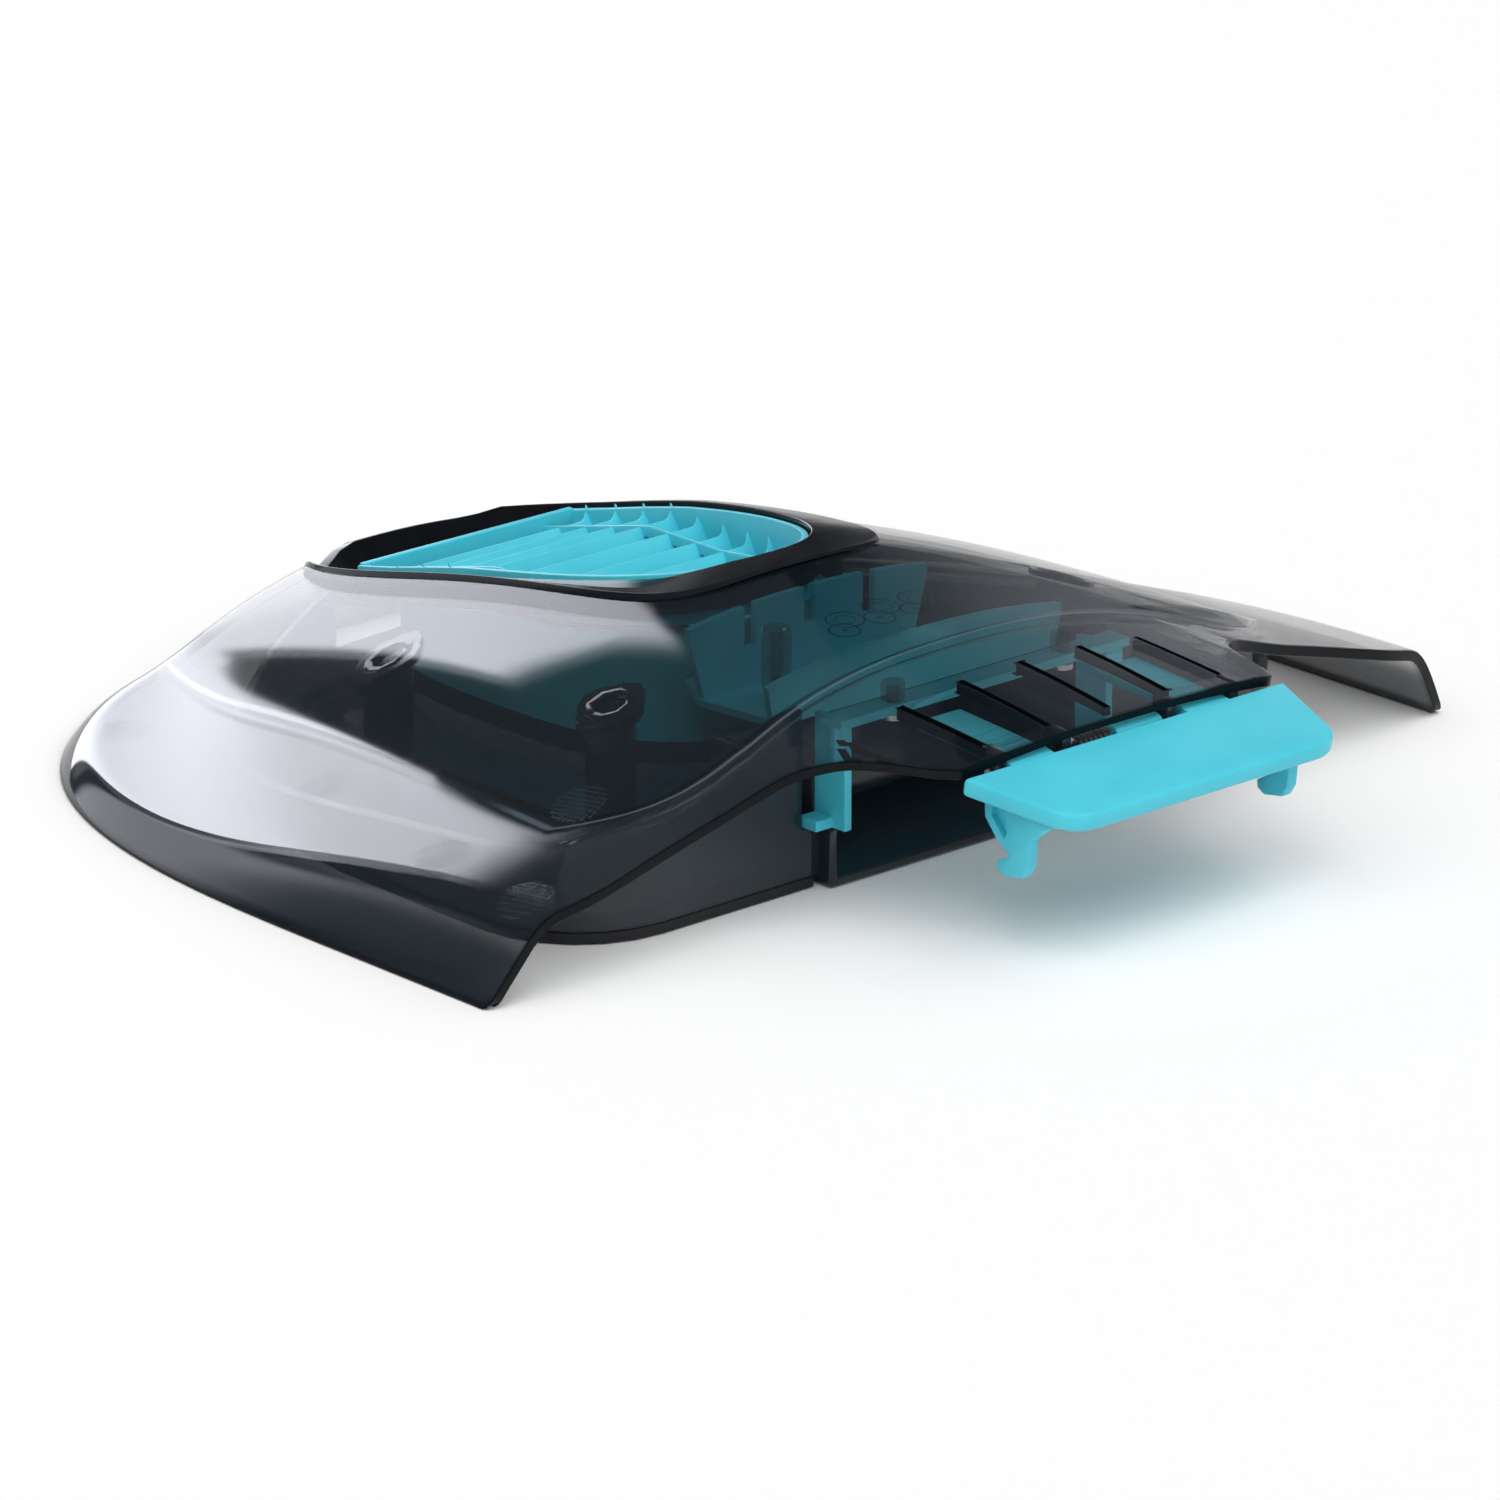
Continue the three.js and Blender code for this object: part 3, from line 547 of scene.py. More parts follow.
hood = {
    "halfWidth": 170, "rearCentreY": 60, "rearReach": 199, "rearPower": 2.9, "wall": 3, "rim": 3.2,
    "hubY": 120, "columnSpacing": 2.6, "outerSteps": 96, "innerSteps": 46,
    # the middle line's height, which falls from the crown to the front and to the rear
    "crownZ": 60.3, "crownY": 76, "frontFall": 4.5, "frontRun": 66, "rearFall": 15.1, "rearRun": 114,
    "rearCurve": 1.74,
    # the body's fall to its sides, which is steeper towards the rear, and its foot at the crease
    "sideFall": 21.3, "rearSideFall": 16, "sideFallFromY": 60, "sideFallRun": 150, "sideCurve": 2.36,
    "creaseY": 10, "creaseSwing": 11, "creaseFromX": 80, "creaseRun": 40, "creaseSlope": 0.6,
    "creaseFoot": 4, "rimFrom": 180, "rimSlope": 1.7, "rimCurve": 0.95,
    # the curve from the tongue's edge out to the flare, along its front and up its side
    "turn": [(40, -48.5), (52, -48.5), (54.2, -48.1), (55.6, -47), (56.5, -45.3), (58.5, -42), (61, -35),
             (64, -27), (69, -18), (77, -12), (90, -9.4), (110, -8), (140, -7.5), (152, -5.5), (162, -3),
             (167, -1.2), (169.2, -0.2), (170, 1.8), (170, 6), (170, 12)],
}
tongue = {
    "rootY": -11, "edgeY": -48.5, "halfWidth": 52, "rootZ": 55.3, "rise": 0.05, "sideFall": 2.7,
    "sideRun": 41.7, "curve": 2.4, "flatter": 3.1, "flatterCurve": 1.5, "tuckY": 12, "tuck": 0.3,
    "slotPitch": 20.8, "slotWidth": 2, "slotFromY": -43.5, "slotFromZ": 40, "slotToZ": 62,
}
wing = {
    "shoulderZ": 26, "floorZ": 9, "slope": 0.265, "fromX": 80, "toX": 140, "fall": 15.4, "fallRun": 150,
    "fallCurve": 1.83,
}
bezelSize = {
    "outer": {"y": 161.5, "w": 46.5, "l": 87.5, "front": 5, "rear": 3},
    "inner": {"y": 165, "w": 41, "l": 79.5, "front": 2.6, "rear": 3},
    "wall": 2, "depth": 12, "openingGap": 2.6, "seatGap": 0.4, "gap": 0.5, "rise": 1, "proud": 0.9,
    "sideFall": 23, "rearDrop": 3, "chamfer": 0.3, "corner": 0.45,
    # the left side, which leans inwards behind a thin lip
    "lipIn": 0.9, "lipRise": 1.35, "lipToInner": 1.7, "lipToWall": 2.1, "footSink": 0.8, "wallSink": 2.5,
    "leanFromX": 12, "leanOver": 20,
}


def crown(y):
    if y < hood["crownY"]:
        return hood["crownZ"] - hood["frontFall"] * ((hood["crownY"] - y) / hood["frontRun"]) ** 2
    return hood["crownZ"] - hood["rearFall"] * ((y - hood["crownY"]) / hood["rearRun"]) ** hood["rearCurve"]


def tongueFront(x, y):
    # 1 at the middle of the tongue's front edge, where the arch flattens and the wall thins
    length = tongue["rootY"] - tongue["edgeY"]
    share = clamp((tongue["rootY"] - y) / length, 0, 1) ** tongue["flatterCurve"]
    return share * (1 - min(abs(x) / tongue["halfWidth"], 1) ** tongue["curve"])


def hoodLevels(x, y):
    # heights of the body and of the tongue and wings below its crease
    side = abs(x)
    tongueZ = tongue["rootZ"] + tongue["rise"] * (y - tongue["rootY"])
    tongueZ -= tongue["sideFall"] * (side / tongue["sideRun"]) ** tongue["curve"]
    tongueZ -= tongue["tuck"] * max(0, y - tongue["tuckY"])
    tongueZ -= tongue["flatter"] * tongueFront(x, y)
    fall = wing["fall"] * (max(y, 0) / wing["fallRun"]) ** wing["fallCurve"]
    wingZ = wing["shoulderZ"] + wing["slope"] * (wing["toX"] - max(side, wing["fromX"])) - fall
    creaseY = hood["creaseY"]
    creaseY += hood["creaseSwing"] * (max(side - hood["creaseFromX"], 0) / hood["creaseRun"]) ** 2
    back = clamp((y - hood["sideFallFromY"]) / hood["sideFallRun"], -0.3, 1.2)
    sideFall = hood["sideFall"] + hood["rearSideFall"] * back
    body = crown(y) - sideFall * (side / 100) ** hood["sideCurve"]
    body -= hood["creaseSlope"] * max(0, creaseY + hood["creaseFoot"] - y)
    return body, softMax(tongueZ, softMax(wingZ, wing["floorZ"], 6), 4)


def hoodTop(x, y):
    # height of the shell's outer face, cut down to the rim
    body, lower = hoodLevels(x, y)
    raised = softMax(lower, body, clamp(1.8 + 0.07 * (y - 20), 1.8, 6))
    power = hood["rearPower"]
    along = max(y - hood["rearCentreY"], 0) / hood["rearReach"]
    reach = ((abs(x) / hood["halfWidth"]) ** power + along ** power) ** (1 / power)
    rimZ = hood["rimSlope"] * (hood["rimFrom"] * max(1 - reach, 0)) ** hood["rimCurve"]
    return softMin(raised, rimZ, 6)


def hoodNormal(x, y, step=0.5):
    dx = (hoodTop(x + step, y) - hoodTop(x - step, y)) / (2 * step)
    dy = (hoodTop(x, y + step) - hoodTop(x, y - step)) / (2 * step)
    return Vector((-dx, -dy, 1)).normalized()


def bezelLine(x, y):
    # height of the outlet frame's top, which stays clear of the shell
    drop = bezelSize["rearDrop"] * max((y - 160) / 90, 0)
    line = crown(y) - bezelSize["sideFall"] * (abs(x) / 100) ** hood["sideCurve"] + bezelSize["rise"] - drop
    return max(line, hoodTop(x, y) + bezelSize["gap"] + bezelSize["proud"])


def ovalPoint(oval, t, grow=0.0):
    power = oval["front"] if math.sin(t) < 0 else oval["rear"]
    return Vector(((oval["w"] + grow) * signedPower(math.cos(t), 2 / power),
                   oval["y"] + (oval["l"] + grow) * signedPower(math.sin(t), 2 / power)))


def ovalWidth(oval, y, grow):
    power = oval["front"] if y < oval["y"] else oval["rear"]
    along = abs((y - oval["y"]) / (oval["l"] + grow)) ** power
    return (oval["w"] + grow) * max(1 - along, 0) ** (1 / power)


def leaving(oval, grow, p):
    # where the line from the hub to a point of the outline leaves an oval
    hub = Vector((0, hood["hubY"]))
    low = 0.0
    high = 1.0
    for _ in range(30):
        middle = (low + high) / 2
        q = hub.lerp(p, middle)
        power = oval["front"] if q.y < oval["y"] else oval["rear"]
        across = abs(q.x / (oval["w"] + grow)) ** power
        along = abs((q.y - oval["y"]) / (oval["l"] + grow)) ** power
        if across + along < 1:
            low = middle
        else:
            high = middle
    return hub.lerp(p, low)


def hoodOutline():
    # tongue, the curve out to the flare, the flare's front and side, and the round rear
    spacing = hood["columnSpacing"]
    edge = tongue["edgeY"]
    half = evenly([Vector((0, edge)), Vector((tongue["halfWidth"], edge))], spacing)[:-1]
    half += throughPoints([Vector(p) for p in hood["turn"]], spacing)
    width = hood["halfWidth"]
    power = 2 / hood["rearPower"]
    rear = []
    for k in range(401):
        t = math.pi / 2 * k / 400
        along = hood["rearReach"] * math.sin(t) ** power
        rear.append(Vector((width * math.cos(t) ** power, hood["rearCentreY"] + along)))
    half += evenly([Vector((width, 6))] + rear, spacing * 1.2)
    left = [Vector((-p.x, p.y)) for p in half[1:-1]]
    return half + left[::-1]


def hoodShell():
    outline = hoodOutline()
    outer, inner = hood["outerSteps"], hood["innerSteps"]
    edgeSteps = [0.1, 0.25, 0.5, 0.75, 0.9]
    columns = []
    for p in outline:
        opening = leaving(bezelSize["inner"], bezelSize["openingGap"], p)
        seat = leaving(bezelSize["outer"], bezelSize["seatGap"], p)

        def faces(share):
            # outer and inner point at a share of the way from the opening to the rim
            plan = seat.lerp(p, share) if share >= 0 else opening
            top = hoodTop(plan.x, plan.y)
            outerPoint = Vector((plan.x, plan.y, top))
            inwards = -hoodNormal(plan.x, plan.y)
            inwards = inwards.lerp(Vector((0, 0, -1)), clamp(1 - max(share, 0) / 0.34, 0, 1)).normalized()
            wall = hood["wall"] - tongueFront(plan.x, plan.y)
            innerPoint = outerPoint - inwards * (wall / inwards.dot(hoodNormal(plan.x, plan.y)))
            innerPoint.z = max(innerPoint.z, 0)
            if share > 0.999 and top < hood["wall"]:
                inward = Vector((-plan.x, hood["hubY"] - plan.y, 0)).normalized() * hood["rim"]
                innerPoint = Vector((plan.x, plan.y, 0)) + inward
            return outerPoint, innerPoint

        length = max((p - seat).length, 1)
        row = [faces(-1)[0]]
        for k in range(outer):
            row.append(faces(k / (outer - 1) * (1 - 0.5 / length))[0])
        end = faces(1)
        row += [end[0].lerp(end[1], s) for s in edgeSteps]
        for k in range(inner):
            row.append(faces((1 - k / (inner - 1)) * (1 - 0.5 / length))[1])
        row.append(faces(-1)[1])
        columns.append([at(*q) for q in row])
    rimFrom = outer + 1
    rimTo = rimFrom + len(edgeSteps)

    def cut(ring):
        away = max(rimFrom - ring, ring - rimTo + 1, 0)
        return max(1 - away * 0.5, 0)

    bm = skin(len(columns), len(columns[0]), lambda column, ring: columns[column][ring], cut=cut)
    creaseMark = bm.verts.layers.float.new("crease")
    for v in bm.verts:
        body, lower = hoodLevels(v.co.x / mm, v.co.y / mm + centreY)
        v[creaseMark] = body - lower
    return bm


def hoodSlots():
    cutters = []
    half = tongue["slotWidth"] / 2
    for i in range(5):
        x = (i - 2) * tongue["slotPitch"]
        cutters.append(bar(x - half, x + half, tongue["slotFromY"], tongue["rootY"],
                           tongue["slotFromZ"], tongue["slotToZ"], 0))
    return together(cutters)


shell = finish("smokedHood", hoodShell(), looks["shell"], ["hood_shell"], angle=40)
cutBy(shell, hoodSlots())
walls = shell.data.attributes.new("slotWall", "FLOAT", "FACE")
for face in shell.data.polygons:
    across = face.center.x / mm + 2.5 * tongue["slotPitch"]
    away = abs(across % tongue["slotPitch"] - tongue["slotPitch"] / 2)
    along = face.center.y / mm + centreY
    inSlot = away < 1.05 and tongue["slotFromY"] - 0.1 < along < tongue["rootY"] + 0.1
    walls.data[face.index].value = float(inSlot and face.center.z > tongue["slotFromZ"] * mm)
print("shell made", len(shell.data.polygons))

# Hollow posts and bosses under the shell, with a ring at each post's head

post = {
    "places": [(-80, 56), (80, 56), (-77, 148), (77, 148)], "radius": 7, "bore": 4.2, "footZ": 7.8,
    "sides": 8, "headDepth": (2, 2.2),
    # petal ring where a post meets the shell
    "ring": 9.2, "ringGap": 1.2, "ringTop": 2.3, "ringDepth": 3.2, "lobe": 0.09,
}
boss = {
    "bore": 1.8, "sides": 24,
    "duct": {"places": [(-30, 48), (30, 48)], "radius": 4, "footZ": 40.6},
    "arch": {"places": [(-30, 4), (30, 4)], "radius": 3.2, "footZ": 48.3},
}
lug = {
    "rangesX": [(17, 20), (39.5, 42.5)],
    "outline": [(-48, 42), (-47, 40.9), (-43.4, 40.9), (-42.2, 42), (-42.2, 50.5), (-48, 49.6)],
}


def column(x, y, radius, bore, footZ, sides, turn=0.0):
    # upright tube with its head inside the shell's wall
    spokes = [Vector((math.cos(turn + 2 * math.pi * i / sides), math.sin(turn + 2 * math.pi * i / sides)))
              for i in range(sides)]

    def place(i, ring):
        r = [radius, radius, bore, bore][ring]
        px = x + spokes[i].x * r
        py = y + spokes[i].y * r
        outerHead, innerHead = [hoodTop(px, py) - depth for depth in post["headDepth"]]
        return at(px, py, [footZ, outerHead, innerHead, footZ][ring])

    bm = skin(sides, 4, place)
    roundEdges(bm, 0.0003, 2)
    return bm


def ringHead(x, y):
    count = 64

    def place(i, ring):
        t = 2 * math.pi * i / count
        outer = post["ring"] * (1 + post["lobe"] * math.cos(4 * t) ** 3)
        inner = post["bore"] + post["ringGap"]
        r = [outer, outer, inner, inner][ring]
        px = x + r * math.cos(t)
        py = y + r * math.sin(t)
        top = hoodTop(px, py) - post["ringTop"]
        return at(px, py, [top - post["ringDepth"], top, top, top - post["ringDepth"]][ring])

    return skin(count, 4, place)


parts = []
for x, y in post["places"]:
    parts.append(column(x, y, post["radius"], post["bore"], post["footZ"], post["sides"], math.pi / 8))
    parts.append(ringHead(x, y))
faint = []
for size in (boss["duct"], boss["arch"]):
    for x, y in size["places"]:
        faint.append(column(x, y, size["radius"], boss["bore"], size["footZ"], boss["sides"]))
finish("hoodBosses", together(faint), looks["faint"])
for side in (-1, 1):
    for fromX, toX in lug["rangesX"]:
        outline = [at(side * fromX, y, z) for y, z in lug["outline"]]
        parts.append(plate(outline, -side * (toX - fromX) * mm, 0.0003, 2))
finish("hoodPosts", together(parts), looks["posts"])
print("posts made")

# Outlet frame


def outletBezel():
    rows = []
    size = bezelSize
    outer, inner = size["outer"], size["inner"]
    for p in hoodOutline()[::2]:
        opening = leaving(inner, size["openingGap"], p)
        rest = leaving(outer, size["seatGap"], p)
        openingZ = hoodTop(opening.x, opening.y)
        rise = (hoodTop(rest.x, rest.y) - openingZ) / max((rest - opening).length, 0.01)
        hub = Vector((0, hood["hubY"]))

        def seat(q):
            away = (q - hub).length - (opening - hub).length
            return openingZ + rise * away + size["gap"]

        def point(oval, grow, height):
            q = leaving(oval, grow, p)
            return Vector((q.x, q.y, height(q)))

        def line(q):
            return bezelLine(q.x, q.y)

        def foot(q):
            return line(q) - size["depth"]

        left = clamp((-opening.x - size["leanFromX"]) / size["leanOver"], 0, 1)
        lip = leaving(outer, -size["lipIn"], p)
        lipZ = hoodTop(lip.x, lip.y) + size["lipRise"]

        def blend(z, leftZ):
            return z + (leftZ - z) * left

        # the left side leans inwards, so that its inner edge hides behind a thin lip
        corners = [
            point(outer, 0, lambda q: seat(q) - size["footSink"] * left),
            point(outer, -size["lipIn"], lambda q: blend(line(q), lipZ)),
            point(inner, size["chamfer"], lambda q: blend(line(q), lipZ - size["lipToInner"])),
            point(inner, 0, lambda q: blend(line(q) - size["chamfer"], lipZ - size["lipToWall"])),
            point(inner, 0, foot),
            point(inner, size["wall"], foot),
            point(inner, size["wall"], lambda q: seat(q) - size["wallSink"] * left),
        ]
        rows.append([at(*q) for q in softCorners(corners, size["corner"])])
    return skin(len(rows), len(rows[0]), lambda column, ring: rows[column][ring])


finish("outletBezel", outletBezel(), looks["black"], ["outlet_bezel"], angle=50)
print("bezel made")

# Grille: rim, leaning slats whose ends rise to points at the wall, two ribs and a rear bar

grille = {
    "gap": 0.6, "rim": 1.8, "drop": 1.6, "height": 9, "endY": 207, "firstY": 98, "pitch": 11.2, "count": 10,
    "slatZ": 44.7, "slatHeight": 4, "slatRise": 0.1, "slatLevelY": 133, "slatEdgeX": 38, "slatBelow": 5,
    "horn": 3.5, "hornFrom": 0.89, "hornCurve": 2.2, "thickness": 1.5, "taper": 0.6, "bow": 0.7,
    "lean": 0.65, "wallIn": 0.7, "ribX": 27, "ribTopHalf": 0.6, "ribFootHalf": 0.8, "ribDepth": 3,
    "ribAbove": 0.4, "ribFrontY": 101.5, "barThickness": 2, "barFoot": 8.5, "barTop": 1,
}


def slatTop(y):
    rising = grille["slatZ"] + grille["slatRise"] * max(grille["slatLevelY"] - y, 0)
    return min(rising, bezelLine(grille["slatEdgeX"], y) - grille["slatBelow"])


def grilleFootZ(x, y):
    underRim = bezelLine(x, y) - grille["drop"] - grille["height"]
    return min(underRim, slatTop(y) - grille["slatHeight"] - 0.3)


def grilleRim():
    inner = bezelSize["inner"]
    reach = (grille["endY"] - inner["y"]) / (inner["l"] - grille["gap"])
    endAngle = math.asin(reach ** (inner["rear"] / 2))
    count = 120
    rows = []
    for i in range(count + 1):
        t = math.pi - endAngle + (math.pi + 2 * endAngle) * i / count
        o = ovalPoint(inner, t, -grille["gap"])
        q = ovalPoint(inner, t, -grille["gap"] - grille["rim"])
        top = bezelLine(o.x, o.y) - grille["drop"]
        low = grilleFootZ(o.x, o.y)
        section = [(o.x, o.y, top), (q.x, q.y, top), (q.x, q.y, low), (o.x, o.y, low)]
        rows.append([at(*c) for c in softCorners([Vector(c) for c in section], 0.4, 2)])
    return skin(len(rows[0]), len(rows), lambda column, ring: rows[ring][column], closed=False)


def grilleSlat(y):
    inner = bezelSize["inner"]
    tall = grille["slatHeight"]
    foot = slatTop(y) - tall
    stations = 72
    levels = 6
    narrowest = y - grille["lean"] * tall - 1 if y < inner["y"] else y + 2.5
    wallX = ovalWidth(inner, narrowest, -grille["gap"] - grille["wallIn"])

    def place(column, ring):
        u = -1 + 2 * ring / stations
        horn = clamp((abs(u) - grille["hornFrom"]) / (1 - grille["hornFrom"]), 0, 1)
        edge = tall + grille["horn"] * horn ** grille["hornCurve"]
        back = column >= levels
        level = (2 * levels - 1 - column if back else column) / (levels - 1)
        up = edge * level
        bow = grille["bow"] * level * (1 - level)
        slatThickOrFlareShade = grille["thickness"] * (1 - grille["taper"] * level ** 2) if back else 0
        return at(u * wallX, y - 0.5 + grille["lean"] * (up - tall) - bow + slatThickOrFlareShade, foot + up)

    return skin(2 * levels, stations + 1, place, closed=False)


def grilleRib(side):
    rows = []
    for k in range(31):
        y = grille["ribFrontY"] + (grille["endY"] - 1 - grille["ribFrontY"]) * k / 30
        top = slatTop(y) + grille["ribAbove"]
        low = top - grille["ribDepth"]
        x = side * grille["ribX"]
        upper, lower = grille["ribTopHalf"], grille["ribFootHalf"]
        section = [(x - upper, y, top), (x + upper, y, top), (x + lower, y, low), (x - lower, y, low)]
        rows.append([at(*c) for c in softCorners([Vector(c) for c in section], 0.25, 2)])
    return skin(len(rows[0]), len(rows), lambda column, ring: rows[ring][column], closed=False)


parts = [grilleRim(), grilleRib(-1), grilleRib(1)]
for i in range(grille["count"]):
    parts.append(grilleSlat(grille["firstY"] + grille["pitch"] * i))
endX = ovalWidth(bezelSize["inner"], grille["endY"], -grille["gap"] - grille["wallIn"])
endTop = bezelLine(30, grille["endY"]) - grille["drop"]
parts.append(bar(-endX, endX, grille["endY"] - grille["barThickness"], grille["endY"],
                 endTop - grille["barFoot"], endTop - grille["barTop"]))
finish("outletGrille", together(parts), looks["turquoise"], ["outlet_grille"], angle=50)
print("grille made")

# Pieces that keep their packed form, with rounded edges

roundedCopy("outletDuct", "outlet_duct", looks["turquoise"], 0.0003)
roundedCopy("lowerFrame", "lower_frame", looks["frame"], 0.0004)
roundedCopy("latchPocket", "latch_pocket", looks["frame"], 0.0008)
roundedCopy("frameSeal", "frame_seal", looks["rubber"], 0.0004)
roundedCopy("ductSeal", "duct_seal", looks["rubber"], 0.0004)
roundedCopy("hingePin", "latch_hinge_pin", looks["steel"], 0.0003)
for kind, count in (("frame", 4), ("duct", 2), ("arch", 2)):
    for i in range(1, count + 1):
        roundedCopy(f"{kind}Screw{i}", f"{kind}_screw_{i}", looks["steel"], 0.0003)
roundedCopy("pocketArch", "pocket_arch", looks["turquoise"], 0.0004)
print("duct, frame, seals, screws and arch made")

# Latch: a plate, and its hooks, tails, ledge, knuckle and spring teeth in a second mesh

paddle = {
    "backY": -50, "frontY": -81, "backZ": 47.1, "frontZ": 42, "backW": 56.5, "frontW": 48, "corner": 10,
    "thickness": 5, "rounding": 1.3, "hookX": (44.2, 47.8), "tailX": (23.5, 38.5), "knuckleX": (-0.4, 15.6),
    "toothX": ((3.6, 6.4), (9, 11.4)), "recessDepth": 1.6,
    # from and to along y and z, with x first for the ledge
    "knuckle": (-53, -47.6, 42.2, 45.6), "teeth": (-53, -49.1, 42.2, 46.4),
    "ledge": (-34, 34, -53, -49.3, 42.8, 45.6),
    "hook": [(-52, 44), (-50.5, 42.5), (-48.6, 39.4), (-48.8, 34.6), (-53.3, 29.4), (-57.7, 26.6),
             (-55.6, 25.3), (-53.2, 24), (-53.4, 21.8), (-55.9, 20.5), (-62.3, 21.6), (-64.1, 24.6),
             (-64.9, 32), (-70, 36.2), (-76, 38.8), (-76, 40.5)],
    "recess": [(-51.8, 40), (-51.2, 35.6), (-55.9, 30.4), (-57, 32.5), (-55.6, 40)],
    "tail": [(-53, 44), (-53, 45.6), (-50, 45.9), (-44, 46.6), (-14, 48.8), (-14, 46.6), (-44, 44.6)],
}
hinge = {"y": -45.2, "z": 43.8, "barrel": 3, "bore": 1.8}


def paddlePlate():
    size = paddle
    drop = math.atan2(size["backZ"] - size["frontZ"], size["backY"] - size["frontY"])
    length = math.hypot(size["backZ"] - size["frontZ"], size["backY"] - size["frontY"])
    corners = []
    for side, order in ((-1, 1), (1, -1)):
        turn = []
        start = Vector((side * (size["frontW"] + 2), -length + size["corner"]))
        bend = Vector((side * size["frontW"], -length))
        end = Vector((side * (size["frontW"] - size["corner"]), -length))
        for k in range(13):
            t = k / 12
            turn.append(start * (1 - t) ** 2 + bend * (2 * t * (1 - t)) + end * t * t)
        corners += turn[::order]
    outline = [Vector((-size["backW"], 0))] + corners + [Vector((size["backW"], 0))]
    turned = Matrix.Translation(at(0, size["backY"], size["backZ"])) @ Matrix.Rotation(drop, 4, "X")
    return plate([turned @ (Vector((p.x, p.y, 0)) * mm) for p in outline], size["thickness"] * mm,
                 size["rounding"] * mm, 4)


def sideForm(outline, fromX, toX, rounding=0.0004):
    return plate([at(fromX, y, z) for y, z in outline], (toX - fromX) * mm, rounding, 2)


def crossbar(radius, bore, fromX, toX, sides=32):
    def place(i, ring):
        t = 2 * math.pi * i / sides
        r = [radius, radius, bore, bore][ring]
        return at([fromX, toX, toX, fromX][ring], hinge["y"] + r * math.cos(t), hinge["z"] + r * math.sin(t))

    bm = skin(sides, 4, place)
    roundEdges(bm, 0.0003, 2)
    return bm


finish("latchPlate", paddlePlate(), looks["paddle"], body="latch")
parts = []
for side in (-1, 1):
    hookFrom, hookTo = sorted(side * v for v in paddle["hookX"])
    tailFrom, tailTo = sorted(side * v for v in paddle["tailX"])
    parts.append(sideForm(paddle["hook"], hookFrom, hookTo))
    parts.append(sideForm(paddle["tail"], tailFrom, tailTo))
    parts.append(crossbar(hinge["barrel"], hinge["bore"], tailFrom, tailTo))
parts.append(crossbar(hinge["barrel"], hinge["bore"], *paddle["knuckleX"]))
parts.append(bar(*paddle["knuckleX"], *paddle["knuckle"]))
parts.append(bar(*paddle["ledge"]))
for toothX in paddle["toothX"]:
    parts.append(bar(*toothX, *paddle["teeth"]))
latch = finish("fingerLatch", together(parts), looks["paddle"], ["latch_paddle"], "latch", 35)
outerX, depth = paddle["hookX"][1], paddle["recessDepth"]
cutBy(latch, together([sideForm(paddle["recess"], -outerX - 1, depth - outerX, 0),
                       sideForm(paddle["recess"], outerX - depth, outerX + 1, 0)]), crossing=True)
print("latch made")

# Torsion spring

spring = {
    "x": -8, "turns": 6, "pitch": 1.7, "radius": 2.7, "wire": 0.6, "steps": 28, "sides": 12,
    "tail": [(11, 2.4), (7, 2.58), (4, 2.7)], "footY": -3,
}


def springPath():
    half = spring["turns"] * spring["pitch"] / 2

    def near(x, y, z):
        return at(spring["x"] + x, hinge["y"] + y, hinge["z"] + z)

    path = [near(-half, y, z) for y, z in spring["tail"]]
    for i in range(spring["turns"] * spring["steps"] + 1):
        t = math.pi / 2 + 2 * math.pi * i / spring["steps"]
        path.append(near(-half + spring["pitch"] * i / spring["steps"], spring["radius"] * math.cos(t),
                         spring["radius"] * math.sin(t)))
    path.append(near(half, spring["footY"], spring["radius"]))
    return path


def torsionSpring():
    path = springPath()
    rows = []
    for i, p in enumerate(path):
        along = (path[min(i + 1, len(path) - 1)] - path[max(i - 1, 0)]).normalized()
        across = Vector((1, 0, 0))
        across = (across - along * across.dot(along)).normalized()
        up = along.cross(across)
        turn = [2 * math.pi * k / spring["sides"] for k in range(spring["sides"])]
        rows.append([p + (across * math.cos(t) + up * math.sin(t)) * spring["wire"] * mm for t in turn])
    return skin(spring["sides"], len(rows), lambda column, ring: rows[ring][column], closed=False)


finish("hingeSpring", torsionSpring(), looks["steel"], ["latch_spring"])
print("spring made")

# Floor, lamps and camera

stage = {
    "floorSize": 12, "floorZ": -0.0004, "floorColour": (0.98, 0.98, 0.98, 1), "world": 0.1, "lampAngle": 60,
    "glowSteps": 40, "glowTint": (0.96, 0.975, 1.06), "glowAway": 1.7,
    "lensMm": 216, "sensorMm": 36, "clipEnd": 50, "cameraAt": (-1.5122, -1.6688, 0.7857), "pitch": 19.105,
    "heading": (0.671, 0.7415),
}


def floorLook():
    look = Look("paleFloor")
    look.shader.inputs["Specular IOR Level"].default_value = 0.1
    return look.wear(Base=stage["floorColour"], Roughness=0.9)


floorMesh = bmesh.new()
bmesh.ops.create_grid(floorMesh, x_segments=1, y_segments=1, size=stage["floorSize"])
floorData = bpy.data.meshes.new("floor")
floorMesh.to_mesh(floorData)
floorMesh.free()
floor = bpy.data.objects.new("floor", floorData)
floor.location.z = stage["floorZ"]
floorData.materials.append(floorLook())
bpy.context.scene.collection.objects.link(floor)

world = bpy.data.worlds.new("studio")
bpy.context.scene.world = world
world.use_nodes = True
backdrop = world.node_tree.nodes["Background"]
backdrop.inputs["Strength"].default_value = stage["world"]
backdrop.inputs["Color"].default_value = (1, 1, 1, 1)


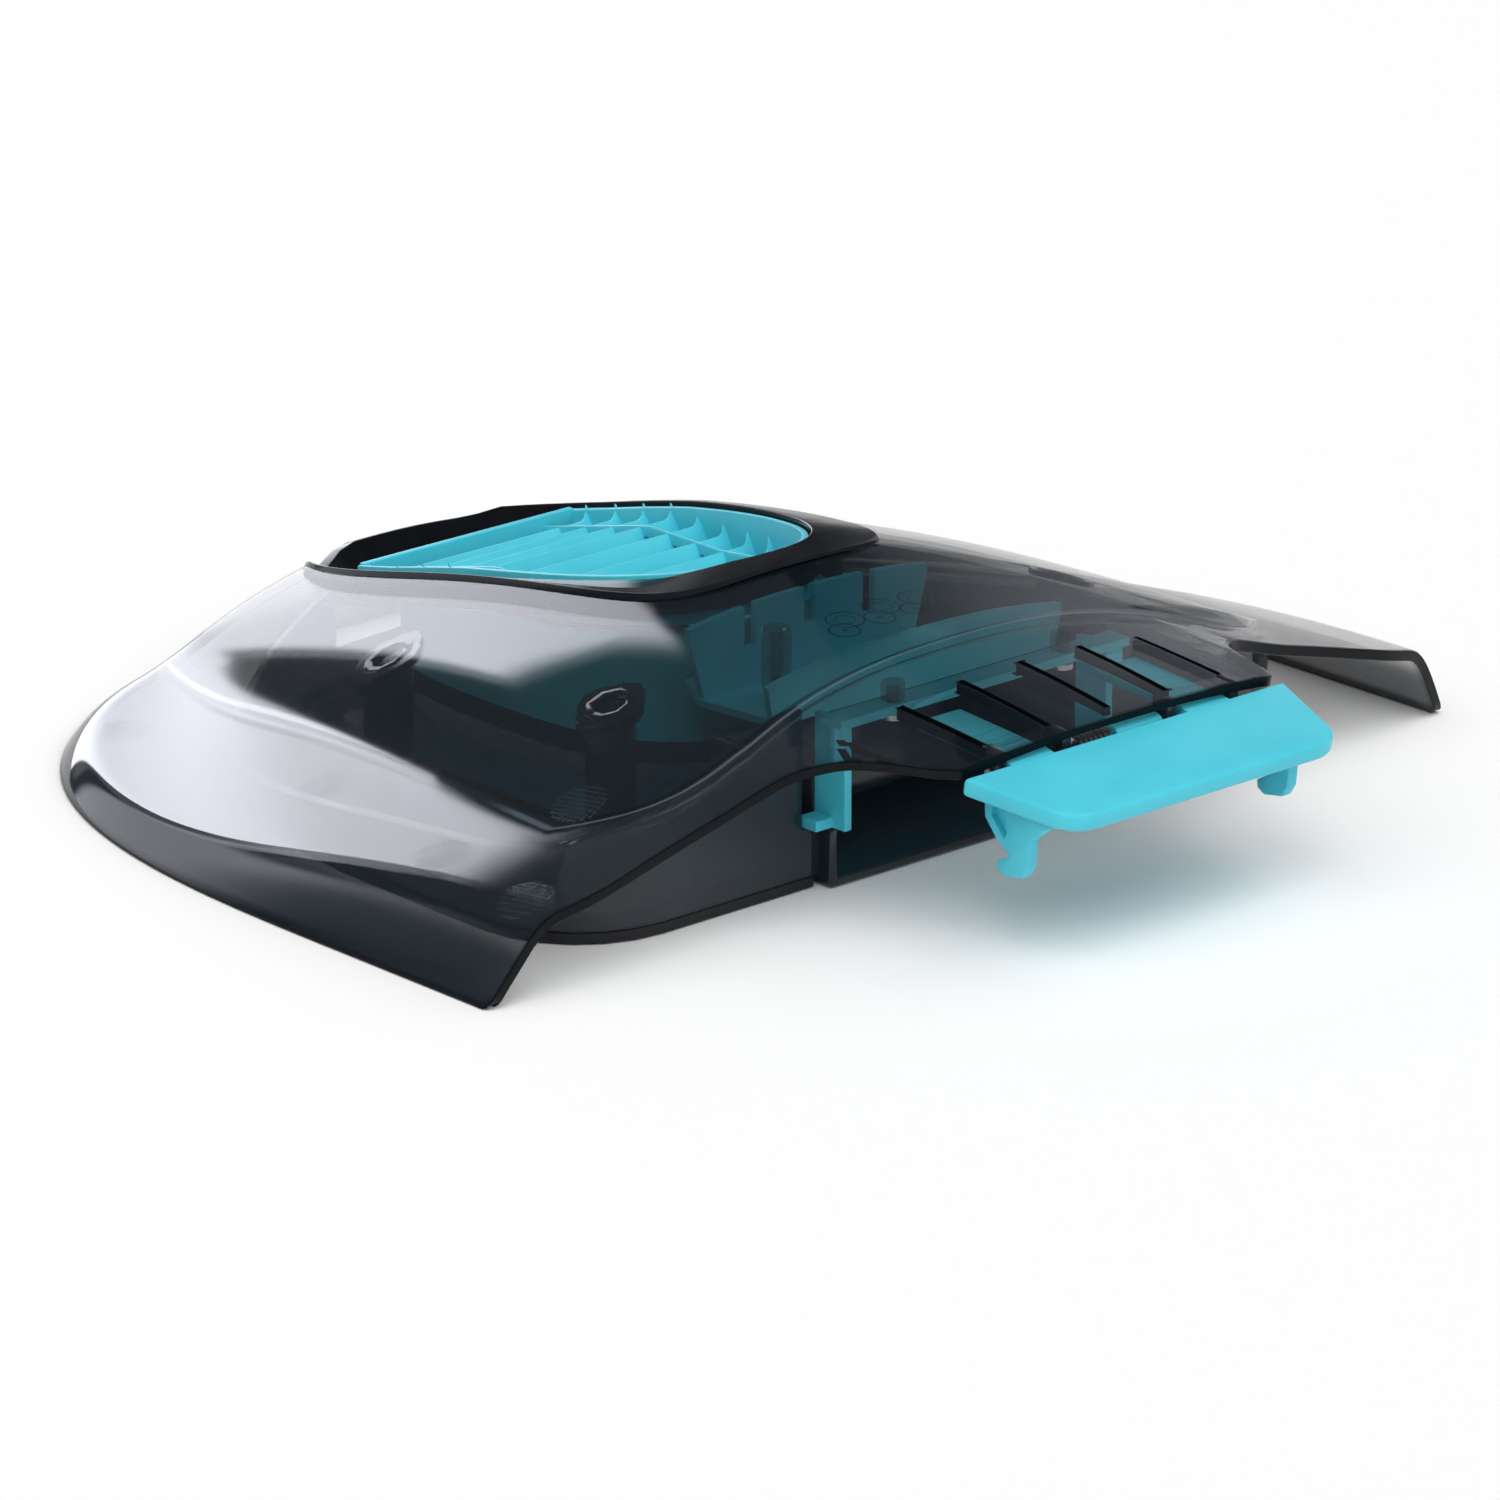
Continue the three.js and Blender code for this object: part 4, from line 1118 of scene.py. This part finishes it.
def towards(azimuth, elevation):
    # direction at so many degrees from +Y towards +X, and so many above the floor
    a, e = math.radians(azimuth), math.radians(elevation)
    return Vector((math.sin(a) * math.cos(e), math.cos(a) * math.cos(e), math.sin(e)))


def lamp(name, azimuth, elevation, strength):
    # wide, even light that the gloss doesn't show
    light = bpy.data.lights.new(name, "SUN")
    light.energy = strength
    light.angle = math.radians(stage["lampAngle"])
    obj = bpy.data.objects.new(name, light)
    obj.rotation_euler = towards(azimuth, elevation).to_track_quat("Z", "Y").to_euler()
    obj.visible_glossy = False
    bpy.context.scene.collection.objects.link(obj)


lamp("keyFront", 195, 52, 1.85)
lamp("fillLeft", 262, 50, 1.05)
lamp("fillRight", 110, 50, 0.8)


def glow(name, corners, fades):
    # softbox that only the gloss sees: azimuth, elevation and strength of its lower left, lower
    # right, upper right and upper left corners, and how far it fades at its left, right, top and foot
    bm = bmesh.new()
    level = bm.verts.layers.float.new("level")
    bmesh.ops.create_grid(bm, x_segments=stage["glowSteps"], y_segments=stage["glowSteps"], size=0.5)
    lowLeft, lowRight, highRight, highLeft = [Vector(c) for c in corners]
    left, right, top, foot = fades
    for v in bm.verts:
        across, up = v.co.x + 0.5, v.co.y + 0.5
        place = lowLeft.lerp(lowRight, across).lerp(highLeft.lerp(highRight, across), up)
        v[level] = place.z
        for share, fade in ((across, left), (1 - across, right), (1 - up, top), (up, foot)):
            t = clamp(share / fade, 0, 1)
            v[level] *= t * t * (3 - 2 * t)
        v.co = towards(place.x, place.y) * stage["glowAway"]
    look = Look(name)
    strength = look.attribute("level")
    red, green, blue = [strength * c for c in stage["glowTint"]]
    look.tree.links.new(look.vector(red, green, blue).link, look.shader.inputs["Emission Color"])
    look.shader.inputs["Emission Strength"].default_value = 1
    look.shader.inputs["Specular IOR Level"].default_value = 0
    look.wear(Base=(0, 0, 0, 1), Roughness=1)
    mesh = bpy.data.meshes.new(name)
    bm.to_mesh(mesh)
    bm.free()
    mesh.materials.append(look.material)
    obj = bpy.data.objects.new(name, mesh)
    obj.visible_camera = obj.visible_diffuse = obj.visible_shadow = False
    bpy.context.scene.collection.objects.link(obj)


glow("softboxLeft", [(-46, -8, 2.4), (-1, -8, 1.8), (4, 36, 1.8), (-46, 31, 2.4)], (0.36, 0.1, 0.05, 0.05))
glow("softboxRear", [(4.5, -16, 4.4), (38.5, -16, 2.8), (31.5, 38.5, 4.8), (12.5, 33.5, 8)],
     (0.04, 0.07, 0.06, 0.05))
glow("softboxRight", [(40, -16, 0.2), (75, -16, 0.25), (75, 40, 1.6), (44, 40, 0.7)], (0.4, 0.1, 0.3, 0.05))

cameraData = bpy.data.cameras.new("camera")
camera = bpy.data.objects.new("camera", cameraData)
bpy.context.scene.collection.objects.link(camera)
cameraData.lens = stage["lensMm"]
cameraData.sensor_width = stage["sensorMm"]
cameraData.clip_end = stage["clipEnd"]
pitch = math.radians(stage["pitch"])
headingX, headingY = stage["heading"]
view = Vector((headingX * math.cos(pitch), headingY * math.cos(pitch), -math.sin(pitch)))
camera.location = stage["cameraAt"]
camera.rotation_euler = view.to_track_quat("-Z", "Y").to_euler()
bpy.context.scene.camera = camera

scene = bpy.context.scene
scene.view_settings.view_transform = "Standard"
scene.cycles.transparent_max_bounces = 24
print("stage made")
